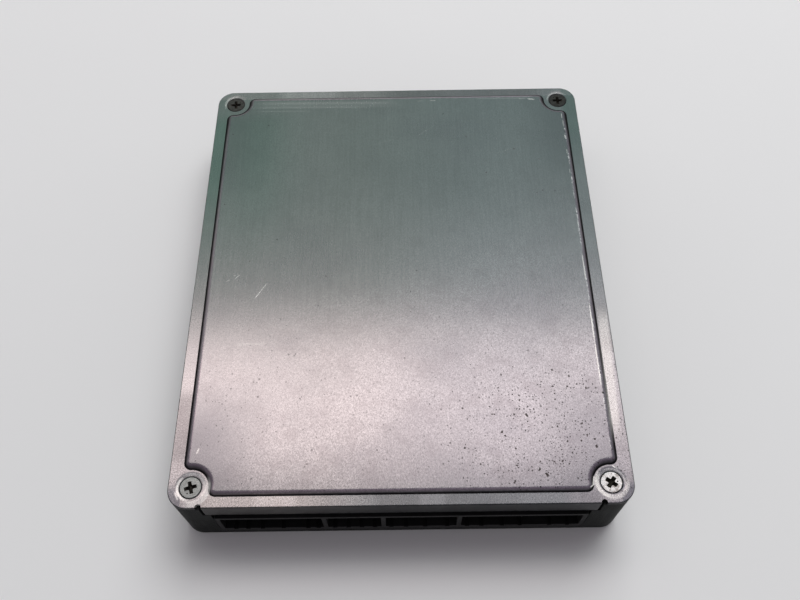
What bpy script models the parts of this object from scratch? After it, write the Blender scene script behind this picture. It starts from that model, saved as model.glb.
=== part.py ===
"""Engine control unit: a flat cast box with a pressed cover and a four-bay connector header.

Metres, +Z up. The connectors face -Y. The origin is the bottom centre of the whole unit.
"""

import math

import bmesh
import bpy
from mathutils.geometry import tessellate_polygon

MM = 0.001

# Space left where one piece rests on another, and the play of a loose fit
SEAT_GAP = 0.3 * MM
FIT_PLAY = 0.3 * MM
OVERSHOOT = 5.0 * MM

# Housing
CASE_WIDTH = 150.0 * MM
CASE_LENGTH = 178.3 * MM
BODY_HEIGHT = 28.2 * MM
CORNER_RADIUS = 6.5 * MM
CORNER_STEPS = 8
FLOOR_THICKNESS = 2.8 * MM
WALL_THICKNESS = 2.4 * MM
WALL_INSET = 0.6 * MM
BOTTOM_CHAMFER = 0.8 * MM
CAVITY_RADIUS = 2.0 * MM
POST_WIDTH = 13.0 * MM
POST_DEPTH = 16.0 * MM
SILL_THICKNESS = 2.5 * MM
BACK_BOSS_WIDTH = 14.0 * MM
BACK_BOSS_DEPTH = 14.0 * MM
BACK_BOSS_RADIUS = 5.0 * MM
BRACKET_PAD_LENGTH = 14.0 * MM
BRACKET_PAD_SPACING = 90.0 * MM
BRACKET_HOLE_RADIUS = 2.1 * MM
BRACKET_HOLE_DEPTH = 1.8 * MM
WALL_FRAME = 3.0 * MM
UNDERSIDE_FRAME = 9.0 * MM
UNDERSIDE_RECESS = 0.6 * MM

# Cover sheet
SHEET = 1.5 * MM
PANEL_RISE = 1.0 * MM
PANEL_WALL = 1.3 * MM
PANEL_RIM_SIDE = 4.8 * MM
PANEL_RIM_END = 4.25 * MM
NOTCH_RADIUS = 6.1 * MM
NOTCH_FILLET = 2.2 * MM
UNDERSIDE_WALL_START = 0.5 * MM
UNDERSIDE_WALL = 1.0 * MM
LIP_DROP = 7.7 * MM
LIP_BEND = 0.4 * MM
LIP_END_INSET = 11.4 * MM
RELIEF_RADIUS = 1.0 * MM
DIMPLE_RADIUS = 4.9 * MM
DIMPLE_DEPTH = 0.35 * MM
DIMPLE_SHOULDER = 0.3

# Cover screws, M4 countersunk
COVER_SCREW_INSET_X = 7.37 * MM
COVER_SCREW_INSET_Y = 6.91 * MM
COVER_SCREW_LENGTH = 10.0 * MM
COVER_SCREW_RADIUS = 2.0 * MM
COVER_SCREW_POINT = 0.6 * MM
COVER_SCREW_SUNK = 0.15 * MM
HEAD_RADIUS = 3.7 * MM
HEAD_LAND = 0.2 * MM
COVER_SCREW_HOLE_SPARE = 1.5 * MM
RECESS_SPAN = 4.0 * MM
RECESS_ARM = 1.0 * MM
RECESS_DEPTH = 2.0 * MM
RECESS_TAPER = 0.45

# How far each cover screw's cross is turned, in degrees
SCREW_TURNS = {
    "front_left": 16.0,
    "front_right": -36.0,
    "back_left": 5.0,
    "back_right": 0.0,
}

# Circuit board
BOARD_THICKNESS = 1.6 * MM
STANDOFF_HEIGHT = 2.3 * MM
STANDOFF_RADIUS = 3.6 * MM
BOARD_SIDE_GAP = 1.0 * MM
BOARD_CORNER_RADIUS = 1.0 * MM
BOARD_SCREW_RADIUS = 1.5 * MM
BOARD_SCREW_HEAD_RADIUS = 2.75 * MM
BOARD_SCREW_HEAD_HEIGHT = 2.0 * MM
BOARD_SCREW_HEAD_BEVEL = 0.8 * MM
BOARD_SCREW_RECESS = 0.6
BOARD_SCREW_INSET_X = 9.0 * MM
BOARD_SCREW_BITE = 2.5 * MM
BACK_SCREW_FROM_BACK = 23.5 * MM

# Connector header
HEADER_PROUD = 0.8 * MM
HEADER_SIDE_GAP = 0.8 * MM
HEADER_UNDER_LIP = 1.4 * MM
HEADER_BOTTOM = 6.4 * MM
HEADER_WALL = 1.5 * MM
HEADER_EDGE_RADIUS = 0.6 * MM
BAY_DEPTH = 15.0 * MM
BACK_WALL = 2.0 * MM
SKIRT_LENGTH = 10.5 * MM
FLANGE_REACH = 3.0 * MM
FLANGE_THICKNESS = 2.0 * MM
FLANGE_SETBACK = 6.0 * MM
EAR_REACH = 9.3 * MM
EAR_LENGTH = 10.0 * MM
EAR_THICKNESS = 3.0 * MM
KEY_HEIGHT = 1.0 * MM
KEY_GAP = 1.5 * MM
LATCH_LENGTH = 4.0 * MM
LATCH_WIDTH = 7.0 * MM
LATCH_SETBACK = 5.0 * MM

# The middle of each wall between two bays, as a share of the header's half width
DIVIDER_SHARES = (-0.417, -0.098, 0.314)

# The gaps between the polarising keys on each bay's floor, as shares of the bay's width
KEY_SHARES = (
    (0.11, 0.23, 0.38, 0.59, 0.84, 0.945),
    (0.125, 0.375, 0.625, 0.875),
    (0.075, 0.285, 0.56, 0.875),
    (0.055, 0.177, 0.353, 0.504, 0.756, 0.907),
)

# Contact pins
PIN_SIZE = 0.64 * MM
PIN_PITCH = 2.6 * MM
PIN_SIDE_MARGIN = 1.5 * MM
PIN_REACH = 7.5 * MM
PIN_ROW_SHARES = (0.386, 0.662)
PIN_BEND_SETBACKS = (5.5 * MM, 8.0 * MM)
CONTACT_STRIP = 2.0 * MM

# Power transistors on the heat-sink ledge
LEDGE_DEPTH = 4.0 * MM
LEDGE_HALF_LENGTH = 46.0 * MM
LEDGE_DROP = 1.5 * MM
INSULATOR_THICKNESS = 0.5 * MM
INSULATOR_HALF_LENGTH = 31.0 * MM
TRANSISTOR_PITCH = 15.0 * MM
TRANSISTOR_COUNT = 4
TRANSISTOR_WIDTH = 10.2 * MM
TRANSISTOR_BODY_DEPTH = 3.2 * MM
TRANSISTOR_TAB = 1.3 * MM
TRANSISTOR_LEG = 0.8 * MM
TRANSISTOR_LEG_PITCH = 2.54 * MM
TRANSISTOR_TOP_MARGIN = 1.6 * MM
TRANSISTOR_STAND_SHARE = 0.17
TRANSISTOR_BODY_SHARE = 0.515
TAB_SHOULDER = 0.2 * MM
TAB_HOLE_RADIUS = 1.9 * MM
CLAMP_THICKNESS = 1.5 * MM
CLAMP_HEIGHT = 6.0 * MM
CLAMP_FOOT = 10.0 * MM
CLAMP_SCREW_BITE = 3.5 * MM

# Where each part stands, as shares of the board's half width and half length from its middle
BOARD_SPOTS = {
    "microcontroller": (-0.197, -0.121),
    "program_memory": (0.31, 0.01),
    "input_chip": (0.169, -0.488),
    "driver_chip_left": (-0.563, -0.567),
    "driver_chip_right": (0.563, -0.567),
    "capacitor_1": (-0.732, 0.455),
    "capacitor_2": (-0.732, 0.22),
    "capacitor_3": (0.732, 0.455),
    "choke_coil": (0.732, 0.167),
    "crystal": (-0.197, 0.22),
}

# Width, length and height of each chip's body
CHIP_SIZES = {
    "microcontroller": (28.0 * MM, 28.0 * MM, 3.4 * MM),
    "program_memory": (14.0 * MM, 20.0 * MM, 2.6 * MM),
    "input_chip": (9.0 * MM, 16.0 * MM, 2.2 * MM),
    "driver_chip_left": (11.0 * MM, 15.0 * MM, 2.6 * MM),
    "driver_chip_right": (11.0 * MM, 15.0 * MM, 2.6 * MM),
}

# How many leads each chip has on a side and on an end
CHIP_LEAD_COUNTS = {
    "microcontroller": (7, 7),
    "program_memory": (7, 0),
    "input_chip": (6, 0),
    "driver_chip_left": (5, 0),
    "driver_chip_right": (5, 0),
}
CHIP_DRAFT = 0.2 * MM
LEAD_STAND = 0.3 * MM
LEAD_WIDTH = 0.7 * MM
LEAD_THICKNESS = 0.3 * MM
LEAD_REACH = 1.2 * MM
LEAD_ROOT = 1.0 * MM

# Radius and height of each electrolytic can
CAN_SIZES = {
    "capacitor_1": (6.3 * MM, 16.0 * MM),
    "capacitor_2": (5.0 * MM, 12.5 * MM),
    "capacitor_3": (6.3 * MM, 16.0 * MM),
}
CAN_NECK_LEVEL = 2.2 * MM
CAN_NECK_DEPTH = 0.5 * MM
CHOKE_RADIUS = 7.0 * MM
CHOKE_COIL_RADIUS = 5.8 * MM
CHOKE_FLANGE = 1.4 * MM
CHOKE_HEIGHT = 10.0 * MM
CRYSTAL_WIDTH = 11.0 * MM
CRYSTAL_DEPTH = 4.6 * MM
CRYSTAL_HEIGHT = 13.0 * MM
CRYSTAL_FLANGE = 0.5 * MM
CRYSTAL_END_ROUNDING = 0.98

# Colours: red, green, blue, then roughness and metallic
FINISHES = {
    "cover_aluminium": ((0.62, 0.60, 0.60), 0.38, 1.0),
    "cast_aluminium": ((0.30, 0.31, 0.30), 0.50, 1.0),
    "zinc_steel": ((0.55, 0.57, 0.55), 0.35, 1.0),
    "black_plastic": ((0.02, 0.02, 0.022), 0.45, 0.0),
    "board_laminate": ((0.03, 0.16, 0.07), 0.45, 0.0),
    "tinned_brass": ((0.70, 0.64, 0.50), 0.30, 1.0),
    "package_black": ((0.03, 0.03, 0.03), 0.55, 0.0),
    "can_aluminium": ((0.60, 0.62, 0.64), 0.30, 1.0),
    "mica_pad": ((0.75, 0.75, 0.72), 0.60, 0.0),
    "spring_steel": ((0.45, 0.45, 0.46), 0.35, 1.0),
}

# Levels and edges that follow from the sizes above
HALF_WIDTH = CASE_WIDTH / 2
FRONT = -(CASE_LENGTH + HEADER_PROUD) / 2 + HEADER_PROUD
BACK = FRONT + CASE_LENGTH
UNDER_COVER = BODY_HEIGHT + SEAT_GAP
RIM_TOP = UNDER_COVER + SHEET
LIP_BOTTOM = RIM_TOP - LIP_DROP
LIP_HALF_LENGTH = HALF_WIDTH - LIP_END_INSET
WALL_INNER_X = HALF_WIDTH - WALL_INSET - WALL_THICKNESS
WALL_INNER_BACK = BACK - WALL_INSET - WALL_THICKNESS
POST_INNER_X = HALF_WIDTH - POST_WIDTH
POST_BACK = FRONT + POST_DEPTH
LEDGE_FACE = WALL_INNER_BACK - LEDGE_DEPTH
STANDOFF_TOP = FLOOR_THICKNESS + STANDOFF_HEIGHT
BOARD_BOTTOM = STANDOFF_TOP + SEAT_GAP
BOARD_TOP = BOARD_BOTTOM + BOARD_THICKNESS
ON_BOARD = BOARD_TOP + SEAT_GAP
HEADER_FRONT = FRONT - HEADER_PROUD
HEADER_HALF_WIDTH = POST_INNER_X - HEADER_SIDE_GAP
HEADER_TOP = LIP_BOTTOM - HEADER_UNDER_LIP
BAY_FLOOR = HEADER_BOTTOM + HEADER_WALL
BAY_CEILING = HEADER_TOP - HEADER_WALL
BAY_END = HEADER_FRONT + BAY_DEPTH
BACK_WALL_REAR = BAY_END + BACK_WALL
SKIRT_END = BACK_WALL_REAR + SKIRT_LENGTH
BOARD_FRONT = BACK_WALL_REAR + HEADER_WALL
BOARD_BACK = LEDGE_FACE - BOARD_SIDE_GAP
BOARD_HALF_WIDTH = WALL_INNER_X - BOARD_SIDE_GAP
BOARD_MIDDLE = (BOARD_FRONT + BOARD_BACK) / 2
BOARD_HALF_LENGTH = (BOARD_BACK - BOARD_FRONT) / 2
EAR_END = SKIRT_END
BOARD_SCREW_X = HALF_WIDTH - BOARD_SCREW_INSET_X
FRONT_BOARD_SCREW_Y = EAR_END - EAR_LENGTH / 2
BACK_BOARD_SCREW_Y = BACK - BACK_SCREW_FROM_BACK
COVER_SCREW_X = HALF_WIDTH - COVER_SCREW_INSET_X
COVER_SCREW_Y = {"front": FRONT + COVER_SCREW_INSET_Y, "back": BACK - COVER_SCREW_INSET_Y}
COVER_SCREW_TOP = RIM_TOP - COVER_SCREW_SUNK
TRANSISTOR_BACK = LEDGE_FACE - 2 * SEAT_GAP - INSULATOR_THICKNESS
TRANSISTOR_FRONT = TRANSISTOR_BACK - TRANSISTOR_TAB - TRANSISTOR_BODY_DEPTH
LEDGE_TOP = BODY_HEIGHT - LEDGE_DROP
TRANSISTOR_TOP = LEDGE_TOP - TRANSISTOR_TOP_MARGIN
TRANSISTOR_BASE = ON_BOARD + (TRANSISTOR_TOP - ON_BOARD) * TRANSISTOR_STAND_SHARE
TRANSISTOR_BODY_TOP = TRANSISTOR_BASE + (TRANSISTOR_TOP - ON_BOARD) * TRANSISTOR_BODY_SHARE
CLAMP_BEND_X = INSULATOR_HALF_LENGTH + FIT_PLAY + CLAMP_THICKNESS
SIDES = {"left": -1, "right": 1}


def clear_scene():
    for item in list(bpy.data.objects):
        bpy.data.objects.remove(item, do_unlink=True)


def finish(name):
    """The named material, made once."""
    material = bpy.data.materials.get(name)
    if material:
        return material
    colour, roughness, metallic = FINISHES[name]
    material = bpy.data.materials.new(name)
    material.use_nodes = True
    shader = material.node_tree.nodes["Principled BSDF"]
    shader.inputs["Base Color"].default_value = (*colour, 1.0)
    shader.inputs["Roughness"].default_value = roughness
    shader.inputs["Metallic"].default_value = metallic
    material.diffuse_color = (*colour, 1.0)
    return material


# Outlines in a plane

def arc(centre, radius, start, end, steps):
    """Points along an arc, angles in degrees."""
    points = []
    for step in range(steps + 1):
        angle = math.radians(start + (end - start) * step / steps)
        points.append((centre[0] + radius * math.cos(angle), centre[1] + radius * math.sin(angle)))
    return points


def rounded_outline(corners, steps=5):
    """A closed outline through (u, v, radius) corners, each with its own fillet."""
    points = []
    for index, (u, v, radius) in enumerate(corners):
        if radius <= 0:
            points.append((u, v))
            continue
        before = corners[index - 1]
        after = corners[(index + 1) % len(corners)]
        towards = []
        for other in (before, after):
            du, dv = other[0] - u, other[1] - v
            length = math.hypot(du, dv)
            towards.append((du / length, dv / length))
        (au, av), (bu, bv) = towards
        half = math.acos(max(-1.0, min(1.0, au * bu + av * bv))) / 2
        reach = radius / math.tan(half)
        mid_u, mid_v = au + bu, av + bv
        scale = radius / math.sin(half) / math.hypot(mid_u, mid_v)
        centre = (u + mid_u * scale, v + mid_v * scale)
        start = math.degrees(math.atan2(v + av * reach - centre[1], u + au * reach - centre[0]))
        end = math.degrees(math.atan2(v + bv * reach - centre[1], u + bu * reach - centre[0]))
        turn = (end - start + 180) % 360 - 180
        points.extend(arc(centre, radius, start, start + turn, steps))
    return points


def rectangle(u0, u1, v0, v1, radius=0.0, steps=5):
    return rounded_outline([(u0, v0, radius), (u1, v0, radius), (u1, v1, radius), (u0, v1, radius)], steps)


def circle(centre, radius, steps=24):
    return arc(centre, radius, 0, 360, steps)[:-1]


def mirrored_outline(right_half):
    """A closed outline from the corners of its right half, given from front to back."""
    left_half = [(-x, y, radius) for x, y, radius in reversed(right_half)]
    return right_half + left_half


# Solids

def ring(bm, outline, level):
    return [bm.verts.new((u, v, level)) for u, v in outline]


def bridge(bm, first, second, closed=True):
    count = len(first)
    for index in range(count if closed else count - 1):
        after = (index + 1) % count
        bm.faces.new((first[index], first[after], second[after], second[index]))


def fill(bm, rings):
    """A flat face between an outer ring and the holes in it."""
    verts = [vert for loop in rings for vert in loop]
    for corners in tessellate_polygon([[vert.co for vert in loop] for loop in rings]):
        bm.faces.new([verts[corner] for corner in corners])


def add_object(name, bm, material=None, smooth=False):
    """Makes the object. Without a material it is a helper for a cut or a join."""
    bmesh.ops.recalc_face_normals(bm, faces=bm.faces)
    mesh = bpy.data.meshes.new(name)
    bm.to_mesh(mesh)
    bm.free()
    if smooth:
        mesh.shade_smooth()
        mesh.set_sharp_from_angle(angle=math.radians(35))
    item = bpy.data.objects.new(name, mesh)
    bpy.context.scene.collection.objects.link(item)
    if material:
        mesh.materials.append(finish(material))
    else:
        item.hide_render = True
        item.display_type = "WIRE"
    return item


def stacked(name, levels, material=None, smooth=False):
    """A solid through outlines at rising levels, each with as many points."""
    bm = bmesh.new()
    rings = [ring(bm, outline, level) for outline, level in levels]
    for lower, upper in zip(rings, rings[1:]):
        bridge(bm, lower, upper)
    bm.faces.new(rings[0])
    bm.faces.new(rings[-1])
    return add_object(name, bm, material, smooth)


def extruded(name, outline, low, high, material=None, along="Z"):
    """A straight prism. Along Y the outline is in X and Z; along X it is in Y and Z."""
    place = {
        "Z": lambda u, v, w: (u, v, w),
        "Y": lambda u, v, w: (u, w, v),
        "X": lambda u, v, w: (w, u, v),
    }[along]
    bm = bmesh.new()
    ends = [[bm.verts.new(place(u, v, w)) for u, v in outline] for w in (low, high)]
    bridge(bm, ends[0], ends[1])
    bm.faces.new(ends[0])
    bm.faces.new(ends[1])
    return add_object(name, bm, material)


def turned(name, profile, material=None, steps=24):
    """A solid of revolution about Z from (radius, height) points that start and end on the axis."""
    bm = bmesh.new()
    rings = [ring(bm, circle((0, 0), radius, steps), height) for radius, height in profile[1:-1]]
    for lower, upper in zip(rings, rings[1:]):
        bridge(bm, lower, upper)
    bm.faces.new(rings[0])
    bm.faces.new(rings[-1])
    return add_object(name, bm, material, smooth=material is not None)


def combine(target, operation, tools):
    """Joins the tools to the target, or cuts them from it, after what was done to it before."""
    group = bpy.data.collections.new(f"{target.name}_tools")
    bpy.context.scene.collection.children.link(group)
    group.hide_render = True
    for tool in tools:
        for holder in list(tool.users_collection):
            holder.objects.unlink(tool)
        group.objects.link(tool)
    modifier = target.modifiers.new(operation.title(), "BOOLEAN")
    modifier.operation = operation
    modifier.solver = "EXACT"
    modifier.operand_type = "COLLECTION"
    modifier.collection = group


def screw_hole(name, position, radius, bottom, top):
    hole = turned(name, [(0, bottom), (radius, bottom), (radius, top), (0, top)], steps=16)
    hole.location = (*position, 0)
    return hole


# Cover

def case_outline(inset):
    half = HALF_WIDTH - inset
    return rectangle(-half, half, FRONT + inset, BACK - inset, CORNER_RADIUS - inset, CORNER_STEPS)


def panel_outline(inset):
    """The raised panel's outline, with a round notch about each cover screw."""
    notch = NOTCH_RADIUS + inset
    fillet = NOTCH_FILLET - inset
    side = COVER_SCREW_INSET_X - PANEL_RIM_SIDE - inset
    end = COVER_SCREW_INSET_Y - PANEL_RIM_END - inset
    side_centre = (side - fillet, -math.sqrt((notch + fillet) ** 2 - (side - fillet) ** 2))
    end_centre = (-math.sqrt((notch + fillet) ** 2 - (end - fillet) ** 2), end - fillet)
    side_angle = math.degrees(math.atan2(-side_centre[1], -side_centre[0]))
    end_angle = math.degrees(math.atan2(-end_centre[1], -end_centre[0]))
    corner = arc(side_centre, fillet, 0, side_angle, 4)
    corner += arc((0, 0), notch, side_angle - 180, end_angle - 180, 8)[1:-1]
    corner += arc(end_centre, fillet, end_angle, 90, 4)
    outline = []
    for x_sign, end_name in ((1, "front"), (1, "back"), (-1, "back"), (-1, "front")):
        y_sign = -1 if end_name == "front" else 1
        placed = [
            (x_sign * (COVER_SCREW_X + x), COVER_SCREW_Y[end_name] + y_sign * y) for x, y in corner
        ]
        outline += placed if x_sign == y_sign else placed[::-1]
    return outline


def cover_edge():
    """The cover's outline from the right end of the lip round to its left end."""
    relief_y = FRONT + LIP_BEND
    relief_x = LIP_HALF_LENGTH + RELIEF_RADIUS
    right = arc((relief_x, relief_y), RELIEF_RADIUS, 180, 0, 8)
    right.append((relief_x + RELIEF_RADIUS, FRONT))
    corner = (HALF_WIDTH - CORNER_RADIUS, FRONT + CORNER_RADIUS)
    right += arc(corner, CORNER_RADIUS, -90, 0, CORNER_STEPS)
    corner = (HALF_WIDTH - CORNER_RADIUS, BACK - CORNER_RADIUS)
    right += arc(corner, CORNER_RADIUS, 0, 90, CORNER_STEPS)
    return right + [(-x, y) for x, y in reversed(right)]


def rise_at(share):
    """The pressed wall's soft S shape, from 0 at its foot to 1 at its top."""
    return share * share * (3 - 2 * share)


def countersink_radius(level):
    """The cover's and the boss's hole round a countersunk head, at a level."""
    head_cone = HEAD_RADIUS - (COVER_SCREW_TOP - HEAD_LAND - level)
    return max(head_cone + FIT_PLAY * math.sqrt(2), COVER_SCREW_RADIUS + FIT_PLAY)


def cover_screw_places():
    for end_name, y in COVER_SCREW_Y.items():
        for side_name, sign in SIDES.items():
            yield f"{end_name}_{side_name}", (sign * COVER_SCREW_X, y)


def build_cover():
    bm = bmesh.new()
    edge = cover_edge()
    top_edge = ring(bm, edge, RIM_TOP)
    under_edge = ring(bm, edge, UNDER_COVER)
    bridge(bm, top_edge, under_edge, closed=False)

    # Folded lip: one section at each end, joined by straight strips
    bend = arc((FRONT + LIP_BEND, RIM_TOP - LIP_BEND), LIP_BEND, 90, 180, 3)[1:]
    section = bend + [(FRONT, LIP_BOTTOM), (FRONT + SHEET, LIP_BOTTOM), (FRONT + SHEET, UNDER_COVER)]
    lip_ends = []
    for x, top, under in (
        (LIP_HALF_LENGTH, top_edge[0], under_edge[0]),
        (-LIP_HALF_LENGTH, top_edge[-1], under_edge[-1]),
    ):
        verts = [top] + [bm.verts.new((x, y, z)) for y, z in section]
        bm.faces.new(verts + [under])
        lip_ends.append(verts)
    bridge(bm, lip_ends[0], lip_ends[1], closed=False)
    under_edge += [lip_ends[1][-1], lip_ends[0][-1]]

    # Screw dimples with countersunk holes
    dimple_tops = []
    hole_bottoms = []
    for _, centre in cover_screw_places():
        seat = RIM_TOP - DIMPLE_DEPTH
        shoulder = DIMPLE_RADIUS + (countersink_radius(seat) - DIMPLE_RADIUS) * DIMPLE_SHOULDER
        steps = [
            (DIMPLE_RADIUS, RIM_TOP),
            (shoulder, RIM_TOP - DIMPLE_DEPTH * DIMPLE_SHOULDER),
            (countersink_radius(seat), seat),
            (countersink_radius(UNDER_COVER), UNDER_COVER),
        ]
        rings = [ring(bm, circle(centre, radius), level) for radius, level in steps]
        for upper, lower in zip(rings, rings[1:]):
            bridge(bm, upper, lower)
        dimple_tops.append(rings[0])
        hole_bottoms.append(rings[-1])

    # Raised panel, outside and underside
    walls = (
        (RIM_TOP, 0.0, PANEL_WALL, 4),
        (UNDER_COVER, UNDERSIDE_WALL_START, UNDERSIDE_WALL, 2),
    )
    feet = []
    for level, start, width, steps in walls:
        rings = []
        for step in range(steps + 1):
            share = step / steps
            rings.append(ring(bm, panel_outline(start + width * share), level + PANEL_RISE * rise_at(share)))
        for lower, upper in zip(rings, rings[1:]):
            bridge(bm, lower, upper)
        bm.faces.new(rings[-1])
        feet.append(rings[0])

    fill(bm, [top_edge, feet[0], *dimple_tops])
    fill(bm, [under_edge, feet[1], *hole_bottoms])
    return add_object("top_cover", bm, "cover_aluminium", smooth=True)


def cross_outline(scale):
    reach = RECESS_SPAN / 2 * scale
    arm = RECESS_ARM / 2 * scale
    quarter = [(reach, -arm), (reach, arm), (arm, arm)]
    outline = []
    for turn in range(4):
        cos, sin = ((1, 0), (0, 1), (-1, 0), (0, -1))[turn]
        outline += [(x * cos - y * sin, x * sin + y * cos) for x, y in quarter]
    return outline


def add_recess(screw, top, scale=1.0):
    tool = stacked(
        f"{screw.name}_recess",
        [
            (cross_outline(scale * RECESS_TAPER), top - RECESS_DEPTH * scale),
            (cross_outline(scale), top + SEAT_GAP),
        ],
    )
    tool.parent = screw
    combine(screw, "DIFFERENCE", [tool])


def build_cover_screws():
    cone_end = HEAD_LAND + HEAD_RADIUS - COVER_SCREW_RADIUS
    profile = [
        (0, -COVER_SCREW_LENGTH),
        (COVER_SCREW_RADIUS - COVER_SCREW_POINT, -COVER_SCREW_LENGTH),
        (COVER_SCREW_RADIUS, -COVER_SCREW_LENGTH + COVER_SCREW_POINT),
        (COVER_SCREW_RADIUS, -cone_end),
        (HEAD_RADIUS, -HEAD_LAND),
        (HEAD_RADIUS, 0),
        (0, 0),
    ]
    for name, position in cover_screw_places():
        screw = turned(f"cover_screw_{name}", profile, "zinc_steel")
        screw.location = (*position, COVER_SCREW_TOP)
        screw.rotation_euler.z = math.radians(SCREW_TURNS[name])
        add_recess(screw, 0.0)


# Housing

def cavity_outline(front, half_width):
    """The housing's inside: past the posts, then round the back bosses."""
    boss_x = HALF_WIDTH - BACK_BOSS_WIDTH
    boss_y = BACK - BACK_BOSS_DEPTH
    right = [
        (half_width, front, 0.0),
        (half_width, POST_BACK, CAVITY_RADIUS),
        (WALL_INNER_X, POST_BACK, CAVITY_RADIUS),
        (WALL_INNER_X, boss_y, CAVITY_RADIUS),
        (boss_x, boss_y, BACK_BOSS_RADIUS),
        (boss_x, WALL_INNER_BACK, CAVITY_RADIUS),
    ]
    return rounded_outline(mirrored_outline(right))


def wall_pocket(name, low, high, outside, along):
    """A shallow recess in an outer wall, between its flush frame and bracket pads."""
    depth = (outside - math.copysign(WALL_INSET, outside), outside + math.copysign(OVERSHOOT, outside))
    outline = rectangle(low, high, WALL_FRAME, BODY_HEIGHT - WALL_FRAME, CAVITY_RADIUS, 3)
    return extruded(name, outline, min(depth), max(depth), along=along)


def standoff_places():
    for end_name, y in (("front", FRONT_BOARD_SCREW_Y), ("back", BACK_BOARD_SCREW_Y)):
        for side_name, sign in SIDES.items():
            yield f"{end_name}_{side_name}", (sign * BOARD_SCREW_X, y)


def clamp_screw_x():
    return CLAMP_BEND_X + CLAMP_FOOT / 2


def clamp_level():
    return (TRANSISTOR_BASE + TRANSISTOR_BODY_TOP) / 2


def wall_pockets():
    post_edge = FRONT + POST_DEPTH
    boss_edge = BACK - BACK_BOSS_DEPTH
    middle = (FRONT + BACK) / 2
    pad = BRACKET_PAD_LENGTH / 2
    near_pad = middle - BRACKET_PAD_SPACING / 2
    far_pad = middle + BRACKET_PAD_SPACING / 2
    spans = ((post_edge, near_pad - pad), (near_pad + pad, far_pad - pad), (far_pad + pad, boss_edge))
    pockets = []
    for side_name, sign in SIDES.items():
        for index, (low, high) in enumerate(spans):
            pockets.append(wall_pocket(f"pocket_{side_name}_{index}", low, high, sign * HALF_WIDTH, "X"))
        for end_name, y in (("front", near_pad), ("back", far_pad)):
            hole = turned(
                f"bracket_hole_{side_name}_{end_name}",
                [(0, 0), (BRACKET_HOLE_RADIUS, 0), (BRACKET_HOLE_RADIUS, OVERSHOOT), (0, OVERSHOOT)],
                steps=16,
            )
            hole.rotation_euler.y = sign * math.pi / 2
            hole.location = (sign * (HALF_WIDTH - BRACKET_HOLE_DEPTH), y, BODY_HEIGHT / 2)
            pockets.append(hole)
    boss_x = HALF_WIDTH - BACK_BOSS_WIDTH
    outline = rectangle(-boss_x, boss_x, WALL_FRAME, BODY_HEIGHT - WALL_FRAME, CAVITY_RADIUS, 3)
    pockets.append(extruded("pocket_back", outline, BACK - WALL_INSET, BACK + OVERSHOOT, along="Y"))
    return pockets


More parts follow.
